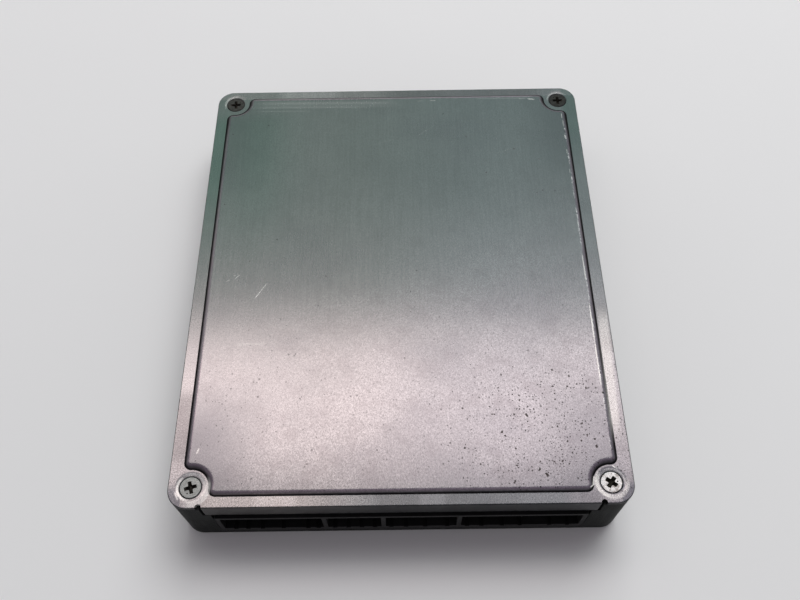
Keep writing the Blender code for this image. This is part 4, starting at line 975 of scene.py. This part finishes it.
def brushed_aluminium():
    """Bare rolled sheet: brush lines along Y, a fine speckle, smudges, pits, scratches and rubbed edges, with
    painted highlights and painted shade.
    """
    g, place = new_material("cover_brushed_aluminium")
    x, y, z = g.parts(place)
    on_panel = z > RIM_TOP + PANEL_RISE / 2
    fine = g.noise(g.stretched(place, (3600, 110, 3600)), detail=3.0, roughness=0.6)
    middle = g.noise(g.stretched(place, (1250, 34, 1250), (3.1, 0.7, 0.0)), detail=2.0)
    speckle = g.noise(g.stretched(place, (2300, 1700, 2300), (0.4, 1.9, 0.0)), detail=2.0, roughness=0.7)
    cloud = g.noise(place, 34.0, 4.0, 0.6)
    smudge = g.noise(g.stretched(place, (17, 26, 17), (1.3, 5.1, 0.0)), detail=3.0, roughness=0.55)
    grain = g.muladd(fine, 0.6, middle * 0.4)
    # The speckle's light and dark flecks are the sheet's grain, painted stronger towards the front as painted
    # glints and painted shade; the blots are stronger there too
    near = g.spread(g.muladd(x, -0.35, y), -0.07, 0.015, 1.0, 0.3)
    blots = g.noise(g.stretched(place, (1, 1, 1), (0.7, 0.3, 0.0)), 125.0, 3.0, 0.6)
    colour = g.ramp(grain, 0.38, 0.62, grey(0.592, (1.0, 0.985, 0.985)), grey(0.634, (1.0, 0.985, 0.985)))
    colour = g.blend(g.spread(speckle, 0.34, 0.5, 0.66, 0.0) * near, colour, grey(0.34, (1.0, 0.98, 0.97)))
    colour = g.blend(g.spread(speckle, 0.52, 0.66, 0.0, 0.72) * near, colour, grey(0.86, (1.0, 0.99, 0.98)))
    colour = g.blend(g.spread(blots, 0.48, 0.66, 0.0, 0.34) * near, colour, grey(0.42, (1.0, 0.94, 0.95)))
    colour = g.ramp(cloud, 0.40, 0.72, colour, grey(0.47, (0.99, 1.0, 1.0)), 0.24)
    colour = g.ramp(smudge, 0.50, 0.66, colour, grey(0.43, (1.0, 0.98, 1.03)), 0.24)

    # Painted shade: the panel is painted darker towards the ends of its left and right edges, at the front
    # and at the back, where its curve turns from the light; the right side is the cooler one
    reach = abs(x)
    side = g.spread(x, -0.02, 0.02, 1.0, 0.72)
    ends = g.spread(reach, 0.038, 0.066) * side * g.fall(y, -0.066, -0.038)
    far = g.spread(reach, 0.045, 0.070, 0.0, 0.55) * g.spread(y, 0.02, 0.06)
    edge_shade = g.most(ends, far) * on_panel
    colour = g.blend(edge_shade * 0.8, colour, grey(0.34, (0.97, 0.99, 1.03)))
    colour = g.tinted(g.spread(x, -0.03, 0.045), colour, (0.975, 1.0, 1.05, 1.0))

    # Rims, painted with light and shade: a painted greenish reflection at the back of both sides, painted
    # shade at the front corners, and along the front a painted highlight on the left and painted shade
    # further right
    rim_left = g.fall(x, -0.073, -0.030) * g.spread(y, 0.0, 0.05)
    rim_left = rim_left * g.spread(y, 0.070, 0.080, 1.0, 0.3)
    rim_left = rim_left * g.most(g.spread(x, -0.070, -0.050, 0.4, 1.0), x < LEFT_RIM)
    corner_shade = g.fall(y, -0.0835, -0.0805) * (reach > CORNER_X)
    colour = g.tinted(corner_shade, colour, (0.62, 0.64, 0.68, 1.0))
    front_rim = g.fall(y, FRONT + 4.3 * MM, FRONT + 4.6 * MM) * (reach < LIP_HALF_LENGTH)
    front_rim_shade = g.spread(x, -0.038, -0.008) * g.fall(x, 0.050, 0.060)
    colour = g.tinted(front_rim * front_rim_shade, colour, (0.66, 0.71, 0.70, 1.0))
    colour = g.tinted(front_rim * g.fall(x, -0.038, -0.008), colour, (1.27, 1.25, 1.2, 1.0))
    colour = g.tinted(rim_left, colour, (0.70, 0.90, 0.82, 1.0))
    rim_right = g.spread(x, 0.0690, 0.0700) * g.spread(y, 0.040, 0.068)
    colour = g.tinted(rim_right, colour, (0.79, 0.89, 0.85, 1.0))
    off_panel = 1.0 - on_panel
    for *shape, level in RIM_LIGHT_AND_SHADE:
        colour = g.tinted(g.stroke(place, *shape) * off_panel, colour, grey(level))

    # The panel's wall is painted a little more purple: painted shade on its slope
    wall = g.spread(g.attribute("grime_and_shade"), 0.02, 0.3) * (z > RIM_TOP + 0.05 * MM)
    colour = g.tinted(wall, colour, (1.0, 0.87, 0.95, 1.0))

    # Rubbed upper edge of the panel, brightest along the right side
    spots = g.noise(place, 1100.0, 2.0, 0.6)
    runs = g.noise(g.stretched(place, (1, 75, 1)), detail=1.0)
    right_side = g.spread(x, 0.056, 0.067) * g.spread(runs, 0.42, 0.56)
    where = g.most(right_side, g.spread(y, 0.074, 0.084) * 0.25)
    rubbed = g.attribute("wear") * where * g.spread(spots, 0.44, 0.58)
    colour = g.blend(rubbed, colour, grey(0.97))

    # Darkening along the panel's foot and wall, more of it at the back, round the screws, and on the sheet's
    # edge and lip: grime in part, painted shade on the walls that turn from the light, the sheet's edge and
    # the lip
    grime_and_shade = g.attribute("grime_and_shade") + g.spread(g.noise(place, 300.0, 2.0), 0.3, 0.6) * 0.02
    back_wall_shade = g.spread(y, 0.06, 0.08) * (z > RIM_TOP + 0.005 * MM)
    back_wall_shade = back_wall_shade * (g.attribute("grime_and_shade") > 0.01)
    grime_and_shade = g.spread(g.muladd(back_wall_shade, 0.2, grime_and_shade), 0.22, 1.0)
    thin = g.spread(y, 0.078, 0.082, 0.0, 0.35) * g.fall(reach, 0.055, 0.062)
    grime_and_shade = grime_and_shade * (1.0 - thin)
    colour = g.blend(grime_and_shade, colour, grey(0.016, (1.0, 0.95, 1.05)))

    # Small dark pits, most of them towards the front right corner
    front = g.fall(y, -0.055, -0.005)
    corner = g.spread(x, 0.0, 0.045) * g.fall(y, -0.062, -0.03)
    patchy = g.spread(g.noise(place, 75.0, 2.0), 0.40, 0.60)
    crowd = g.muladd(corner, g.muladd(patchy, 0.45, 0.12), front * 0.06)
    ragged = g.ragged(place, 2600.0, 0.0006)
    tiny = g.flat_cells(ragged, 900.0, 0.00021, crowd)
    moved = g.stretched(ragged, (1, 1, 1), (0.31, 0.17, 0.0))
    small = g.flat_cells(moved, 420.0, 0.00032, g.muladd(crowd, 0.36, 0.008))
    moved = g.stretched(ragged, (1, 0.8, 1), (0.13, 0.52, 0.0))
    large = g.flat_cells(moved, 170.0, 0.00044, corner * 0.05)
    flat = g.most(on_panel, x > RIGHT_RIM)
    sunk = g.most(g.most(tiny, small), large) * flat
    pit = sunk
    for shape in NICKS:
        pit = g.most(pit, g.stroke(ragged, *shape) > 0.35)
    colour = g.blend(pit * g.spread(corner, 0.0, 0.5, 0.5, 0.9), colour, grey(0.04, (1.15, 1.0, 0.9)))

    # Scratches and scuffs, and painted highlights round the screws, at the front notches and along the right
    # rim
    marks = 0.0
    for *shape, strength in SCRATCHES_AND_HIGHLIGHTS:
        marks = g.most(marks, g.stroke(place, *shape) * strength)
    for end_name, side_name, angle, inner, outer, strength in RING_HIGHLIGHTS:
        centre = (SIDES[side_name] * SCREW_X, SCREW_Y[end_name], RIM_TOP)
        mark = g.crescent(place, centre, angle, inner * MM, outer * MM)
        marks = g.most(marks, mark * strength)
    marks = marks * g.spread(speckle + fine, 0.75, 1.1, 0.6, 1.0)
    for *shape, strength in STREAKS:
        marks = g.most(marks, g.stroke(place, *shape) * strength)
    colour = g.blend(marks, colour, grey(1.0, (1.0, 0.985, 0.945)))

    roughness = g.spread(grain, 0.35, 0.65, 0.235, 0.255) + g.spread(smudge, 0.4, 0.7, 0.0, 0.03)
    roughness = g.muladd(grime_and_shade, 0.3, roughness)
    height = g.muladd(speckle, 0.5, fine * 0.10)
    height = height - sunk * 2.0
    waves = g.bump(g.noise(g.stretched(place, (20, 12, 20), (0.2, 0.9, 0.0)), detail=0.0), 0.00018, 1.0)
    g.set(Base_Color=colour, Roughness=roughness, Anisotropic=0.75)
    g.set(Metallic=g.muladd(g.most(marks, rubbed), -0.55, 1.0))
    g.set(Normal=g.bump(height, 0.00001, 1.0, waves))
    g.put(g.shader.inputs["Tangent"], g.node("ShaderNodeTangent", direction_type="UV_MAP", uv_map="grain"))
    return g.owner


def cast_aluminium():
    """Dull die-cast skin: a fine sandy grain, faint flow clouds and lighter rubbed spots. Its very dark grey
    is partly its own tone and partly painted shade for the housing's shaded front.
    """
    g, place = new_material("cast_housing")
    grain = g.noise(place, 4200.0, 3.0, 0.65)
    coarse = g.noise(place, 900.0, 2.0)
    cloud = g.noise(g.stretched(place, (28, 28, 60)), detail=3.0)
    colour = g.ramp(cloud, 0.3, 0.75, grey(0.026, (0.97, 1.02, 1.0)), grey(0.044, (0.97, 1.01, 1.0)))
    drawn = g.noise(g.stretched(place, (600, 600, 45), (2.0, 0.4, 0.0)), detail=3.0, roughness=0.6)
    colour = g.ramp(drawn, 0.52, 0.72, colour, grey(0.062), 0.5)
    colour = g.ramp(grain, 0.55, 0.75, colour, grey(0.075), 0.35)
    colour = g.ramp(coarse, 0.62, 0.72, colour, grey(0.018), 0.4)
    height = g.muladd(coarse, 1.2, grain)
    g.set(Base_Color=colour, Roughness=g.spread(grain, 0.3, 0.7, 0.46, 0.6), Metallic=0.7)
    g.set(Specular_IOR_Level=0.3, Specular_Tint=grey(0.35))
    return g.bumped(height, 0.00006, 0.6)


def black_plastic():
    g, place = new_material("header_plastic")
    grain = g.noise(place, 3000.0, 2.0)
    cloud = g.noise(place, 80.0, 2.0)
    colour = g.ramp(cloud, 0.3, 0.7, grey(0.006), grey(0.010, (1.0, 1.0, 1.05)))
    dust = g.spread(g.noise(place, 700.0, 4.0, 0.7), 0.55, 0.75) * 0.08
    colour = g.blend(dust, colour, grey(0.12, (1.0, 0.97, 0.9)))
    g.set(Base_Color=colour, Roughness=g.spread(grain, 0.3, 0.7, 0.48, 0.62), Specular_IOR_Level=0.15)
    return g.bumped(grain, 0.00004, 0.4)


def plated_steel(name, light, tint, stain, rough=0.28, lean=0.0, foot=None):
    """Zinc on steel with a fine grain and stains, more of them near the foot, a place in Y, if it is given.

    A head that sits askew leans to the back by the given slope.
    """
    g, place = new_material(name)
    grain = g.noise(place, 2600.0, 3.0, 0.65)
    cloud = g.noise(place, 1150.0, 3.0)
    if foot is not None:
        cloud = cloud + g.spread(g.parts(place)[1], foot, foot + 2.2 * MM, 0.16, 0.0)
    colour = g.ramp(cloud, 0.45, 0.68, grey(light, tint), grey(light * 0.35, (1.0, 0.9, 0.8)), stain)
    colour = g.ramp(grain, 0.55, 0.75, colour, grey(min(light * 1.6, 0.95), tint), 0.6)
    g.set(Base_Color=colour, Roughness=g.spread(grain, 0.3, 0.7, rough, rough + 0.17), Metallic=1.0)
    slope = g.parts(place)[1] * -lean
    return g.bumped(g.muladd(grain, 0.00002, slope), 1.0)


def recess_grime():
    g, place = new_material("recess_grime")
    crumbs = g.noise(place, 1800.0, 3.0, 0.7)
    colour = g.ramp(crumbs, 0.4, 0.7, grey(0.010, (1.0, 0.9, 0.75)), grey(0.06, (1.0, 0.85, 0.6)))
    g.set(Base_Color=colour, Roughness=0.75, Normal=g.bump(crumbs, 0.00008, 0.6))
    return g.owner


def floor_material():
    """Pale paint. Far from the part the floor shows its own colour where the lamps no longer reach."""
    g, place = new_material("floor_paint")
    colour = g.blend(g.noise(place, 9.0, 3.0), grey(BACKDROP_LEVEL - 0.01), grey(BACKDROP_LEVEL + 0.01))
    g.set(Base_Color=colour, Roughness=0.6)
    rays = [g.node("ShaderNodeLightPath", output=index) for index in LIGHT_PATH_RAYS]
    seen = g.most(g.most(rays[0], rays[1]), rays[2])
    far = g.spread(g.distance(place, (0.0, 0.0, 0.0)), 0.35, 1.6)
    glow = g.node("ShaderNodeEmission", {"Color": grey(BACKDROP_LEVEL), "Strength": 1.0})
    mixed = g.node("ShaderNodeMixShader", {0: seen * far, 1: Value(g, g.shader.outputs[0]), 2: glow})
    g.put(g.tree.nodes["Material Output"].inputs["Surface"], mixed)
    return g.owner


def add_floor():
    bm = bmesh.new()
    bmesh.ops.create_circle(bm, cap_ends=True, segments=96, radius=12.0)
    data = bpy.data.meshes.new("floor")
    bm.to_mesh(data)
    bm.free()
    data.materials.append(floor_material())
    floor = linked("floor", data)
    floor.location.z = -0.0001


def add_light():
    """A pale horizon, a dim sky above it, a warm band overhead, and a fill that metal doesn't show."""
    world = bpy.data.worlds.new("studio")
    g = Graph(world, "Background")
    _, along, height = g.parts(g.node("ShaderNodeTexCoord", output=0))
    sky = g.ramp(along, -0.65, 0.0, SKY_SOUTH, SKY_ZENITH)
    sky = g.ramp(along, 0.15, 0.38, sky, SKY_NORTH)
    sky = g.ramp(along, 0.52, 0.72, sky, SKY_LOW_NORTH)
    g.set(Color=g.ramp(height, 0.2, 0.45, grey(BACKDROP_LEVEL), sky), Strength=1.0)
    bpy.context.scene.world = world
    for name, (x0, x1), (y0, y1), level, colour in CEILING_PANELS:
        place = ((x0 + x1) / 2, (y0 + y1) / 2, level[1])
        lamp = add_area(name, place, (*place[:2], 0.0), (x1 - x0, y1 - y0), level[0])
        lamp.data.color = colour
    fill = add_area("fill", FILL_PLACE, (0.0, 0.0, 0.0), (FILL_SIZE, FILL_SIZE), FILL_RADIANCE, glossy=False)
    fill.data.color = FILL_COLOUR


def dress(material, *nodes):
    for node in nodes:
        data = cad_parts[node].data
        data.materials.clear()
        data.materials.append(material)


def within(value, low, high):
    """One where the value lies between the two, else nothing."""
    return (value > low) * (value < high)


def two_metals(g, share, colour, metal, rough, metal_rough):
    """Shader values for a part that is metal where the share is one."""
    g.set(Base_Color=g.blend(share, colour, metal), Metallic=share)
    g.set(Roughness=share * (metal_rough - rough) + rough)


def board_laminate():
    """Green solder resist over copper tracks, with bare plated spots."""
    g, place = new_material("board_laminate")
    weave = g.noise(place, 1400.0, 2.0)
    track = g.node(
        "ShaderNodeTexVoronoi",
        {"Vector": g.stretched(place, (150, 260, 150)), "Scale": 1.0, "Randomness": 0.6},
        distance="MANHATTAN",
        voronoi_dimensions="2D",
        feature="F2",
    )
    colour = g.ramp(weave, 0.3, 0.7, (0.006, 0.062, 0.026, 1.0), (0.010, 0.080, 0.034, 1.0))
    colour = g.ramp(track, 0.7, 0.74, colour, (0.03, 0.17, 0.06, 1.0), 0.5)
    spot = g.flat_cells(place, 230.0, 0.0006, 0.35)
    two_metals(g, spot, colour, grey(0.62, (1.0, 0.99, 0.95)), 0.36, 0.42)
    return g.bumped(g.spread(track, 0.7, 0.74) + weave, 0.00004, 0.5)


def contact_material():
    """Tinned pins, and the black strip that holds them."""
    g, place = new_material("contact_pins")
    front = BAY_END + 2.0 * MM
    strip = within(g.parts(place)[1], front, front + 2.6 * MM)
    grain = g.noise(g.stretched(place, (2600, 400, 2600)), detail=2.0)
    tin = g.ramp(grain, 0.35, 0.7, grey(0.50, (1.0, 0.97, 0.90)), grey(0.74, (1.0, 0.98, 0.93)))
    pin = 1.0 - strip
    two_metals(g, pin, g.blend(grain, grey(0.012), grey(0.022)), tin, 0.5, 0.3)
    return g.bumped(grain, 0.00003, 0.4)


def package_material(name, box, lead_sides):
    """Black moulding compound with tinned leads outside the body."""
    g, place = new_material(f"package_{name}")
    lead = 0.0
    for axis in lead_sides:
        low, high = box[0][axis] + LEAD_OUT, box[1][axis] - LEAD_OUT
        lead = g.most(lead, 1.0 - within(g.parts(place)[axis], low, high))
    grain = g.noise(place, 5200.0, 2.0)
    colour = g.ramp(grain, 0.3, 0.7, grey(0.010), grey(0.026))
    two_metals(g, lead, colour, g.blend(grain, grey(0.5), grey(0.72)), 0.55, 0.32)
    return g.bumped(grain, 0.00003, 0.6)


def can_material(name, box):
    """A dark sleeve with a pale stripe down one side, a bare top and a rubber foot."""
    g, place = new_material(f"sleeve_{name}")
    x, y, z = g.parts(place)
    middle = [(low + high) / 2 for low, high in zip(*box)]
    radius = (box[1][0] - box[0][0]) / 2
    dx, dy = x - middle[0], y - middle[1]
    reach = g.math("SQRT", dx * dx + dy * dy)
    top = z > box[1][2] - 0.2 * MM
    bare = top * (reach < radius - 0.9 * MM)
    arm = g.math("MINIMUM", abs(dx), abs(dy))
    score = (arm < 0.18 * MM) * bare
    grain = g.noise(place, 1800.0, 3.0)
    sleeve = g.ramp(grain, 0.3, 0.7, (0.012, 0.016, 0.032, 1.0), (0.018, 0.023, 0.045, 1.0))
    stripe = (dx < -radius * 0.86) * (1.0 - top)
    sleeve = g.blend(stripe, sleeve, grey(0.35, (0.9, 0.95, 1.0)))
    sleeve = g.blend(z < box[0][2] + 1.2 * MM, sleeve, grey(0.015))
    # The scored cross on the bare top is painted darker: painted shade in its grooves
    metal = g.blend(score * 0.7, g.blend(grain, grey(0.62), grey(0.75)), grey(0.2))
    two_metals(g, bare, sleeve, metal, 0.33, 0.3)
    return g.bumped(grain - score, 0.00006, 0.6)


def choke_material(box):
    """Enamelled wire between two dark ferrite flanges."""
    g, place = new_material("choke_winding")
    z = g.parts(place)[2]
    flange = 1.4 * MM
    wire = within(z, box[0][2] + flange + 0.05 * MM, box[1][2] - flange - 0.05 * MM)
    turn = g.math("SINE", z * (2 * math.pi / (0.55 * MM)))
    grain = g.noise(place, 2400.0, 3.0)
    # The copper is painted dark between the turns and bright along them: painted shade and painted sheen of
    # the round wire
    copper = g.ramp(turn, -0.9, 0.4, (0.10, 0.022, 0.008, 1.0), (0.55, 0.19, 0.07, 1.0))
    two_metals(g, wire, g.blend(grain, grey(0.03), grey(0.055)), copper, 0.6, 0.28)
    return g.bumped(g.muladd(turn * wire, 0.8, grain), 0.0001, 0.7)


def tab_material(box):
    """A transistor: black body in front, tinned tab behind and legs below."""
    g, place = new_material("transistor_body")
    _, y, z = g.parts(place)
    body = (y < box[1][1] - 1.32 * MM) * (z > LEG_TOP)
    body = g.most(body, within(z, LEG_TOP, box[1][2] - 5.7 * MM))
    grain = g.noise(place, 4200.0, 2.0)
    metal = 1.0 - body
    tin = g.ramp(grain, 0.3, 0.7, grey(0.48), grey(0.66))
    two_metals(g, metal, g.blend(grain, grey(0.010), grey(0.022)), tin, 0.5, 0.34)
    return g.bumped(grain, 0.00003, 0.5)


def streaked_metal(name, dark, light, rough, stretch):
    g, place = new_material(name)
    grain = g.noise(g.stretched(place, stretch), detail=3.0, roughness=0.6)
    cloud = g.noise(place, 180.0, 3.0)
    colour = g.ramp(grain, 0.35, 0.65, dark, light)
    colour = g.ramp(cloud, 0.5, 0.75, colour, grey(0.3, (1.0, 0.97, 0.92)), 0.35)
    g.set(Base_Color=colour, Roughness=g.spread(grain, 0.3, 0.7, rough, rough + 0.14), Metallic=1.0)
    return g.bumped(grain, 0.00004, 0.5)


def mica_pad():
    g, place = new_material("mica_pad")
    flake = g.noise(g.stretched(place, (260, 260, 900)), detail=4.0, roughness=0.65)
    colour = g.ramp(flake, 0.3, 0.7, grey(0.40, (1.0, 0.97, 0.90)), grey(0.56, (1.0, 0.98, 0.93)))
    roughness = g.spread(flake, 0.3, 0.7, 0.4, 0.6)
    g.set(Base_Color=colour, Roughness=roughness, Normal=g.bump(flake, 0.00004, 0.4))
    return g.owner


def dress_inside():
    dress(board_laminate(), "circuit_board")
    dress(contact_material(), *(f"contact_block_{index}" for index in range(1, 5)))
    for name, lead_sides in CHIPS.items():
        dress(package_material(name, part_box(name), lead_sides), name)
    for index in range(1, 4):
        name = f"capacitor_{index}"
        dress(can_material(name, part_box(name)), name)
    dress(choke_material(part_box("choke_coil")), "choke_coil")
    dress(tab_material(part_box("transistor_1")), *(f"transistor_{index}" for index in range(1, 5)))
    dress(streaked_metal("crystal_can", grey(0.52), grey(0.70), 0.24, (2200, 2200, 160)), "crystal")
    dress(streaked_metal("clamp_steel", grey(0.30), grey(0.44), 0.30, (120, 2200, 2200)), "clamp_bar")
    dress(mica_pad(), "insulating_strip")
    screws = [f"board_screw_{end}_{side}" for end in SCREW_Y for side in SIDES]
    screws += [f"clamp_screw_{side}" for side in SIDES]
    dress(plated_steel("inner_screw_zinc", 0.55, (1.0, 0.98, 0.93), 0.3), *screws)


def main():
    bpy.context.scene.view_settings.view_transform = "Standard"
    add_camera()
    add_light()
    add_floor()
    build_cover(brushed_aluminium())
    build_housing(cast_aluminium())
    build_header(black_plastic())
    dress_inside()
    front_foot = SCREW_Y["front"] - HEAD_RADIUS
    finishes = {
        "front_left": plated_steel("screw_zinc_dull", 0.56, (0.90, 1.0, 0.95), 0.25, 0.24, -0.008),
        "front_right": plated_steel(
            "screw_zinc_bright", 0.96, (0.93, 1.0, 1.0), 0.75, 0.18, 0.05, front_foot
        ),
        "back_left": plated_steel("screw_dark_left", 0.17, (1.0, 0.95, 0.9), 0.5),
        "back_right": plated_steel("screw_dark_right", 0.13, (1.0, 0.95, 0.92), 0.5),
    }
    grime = recess_grime()
    for name, place in screw_places():
        build_screw(name, place, *SCREWS[name], finishes[name], grime)


main()
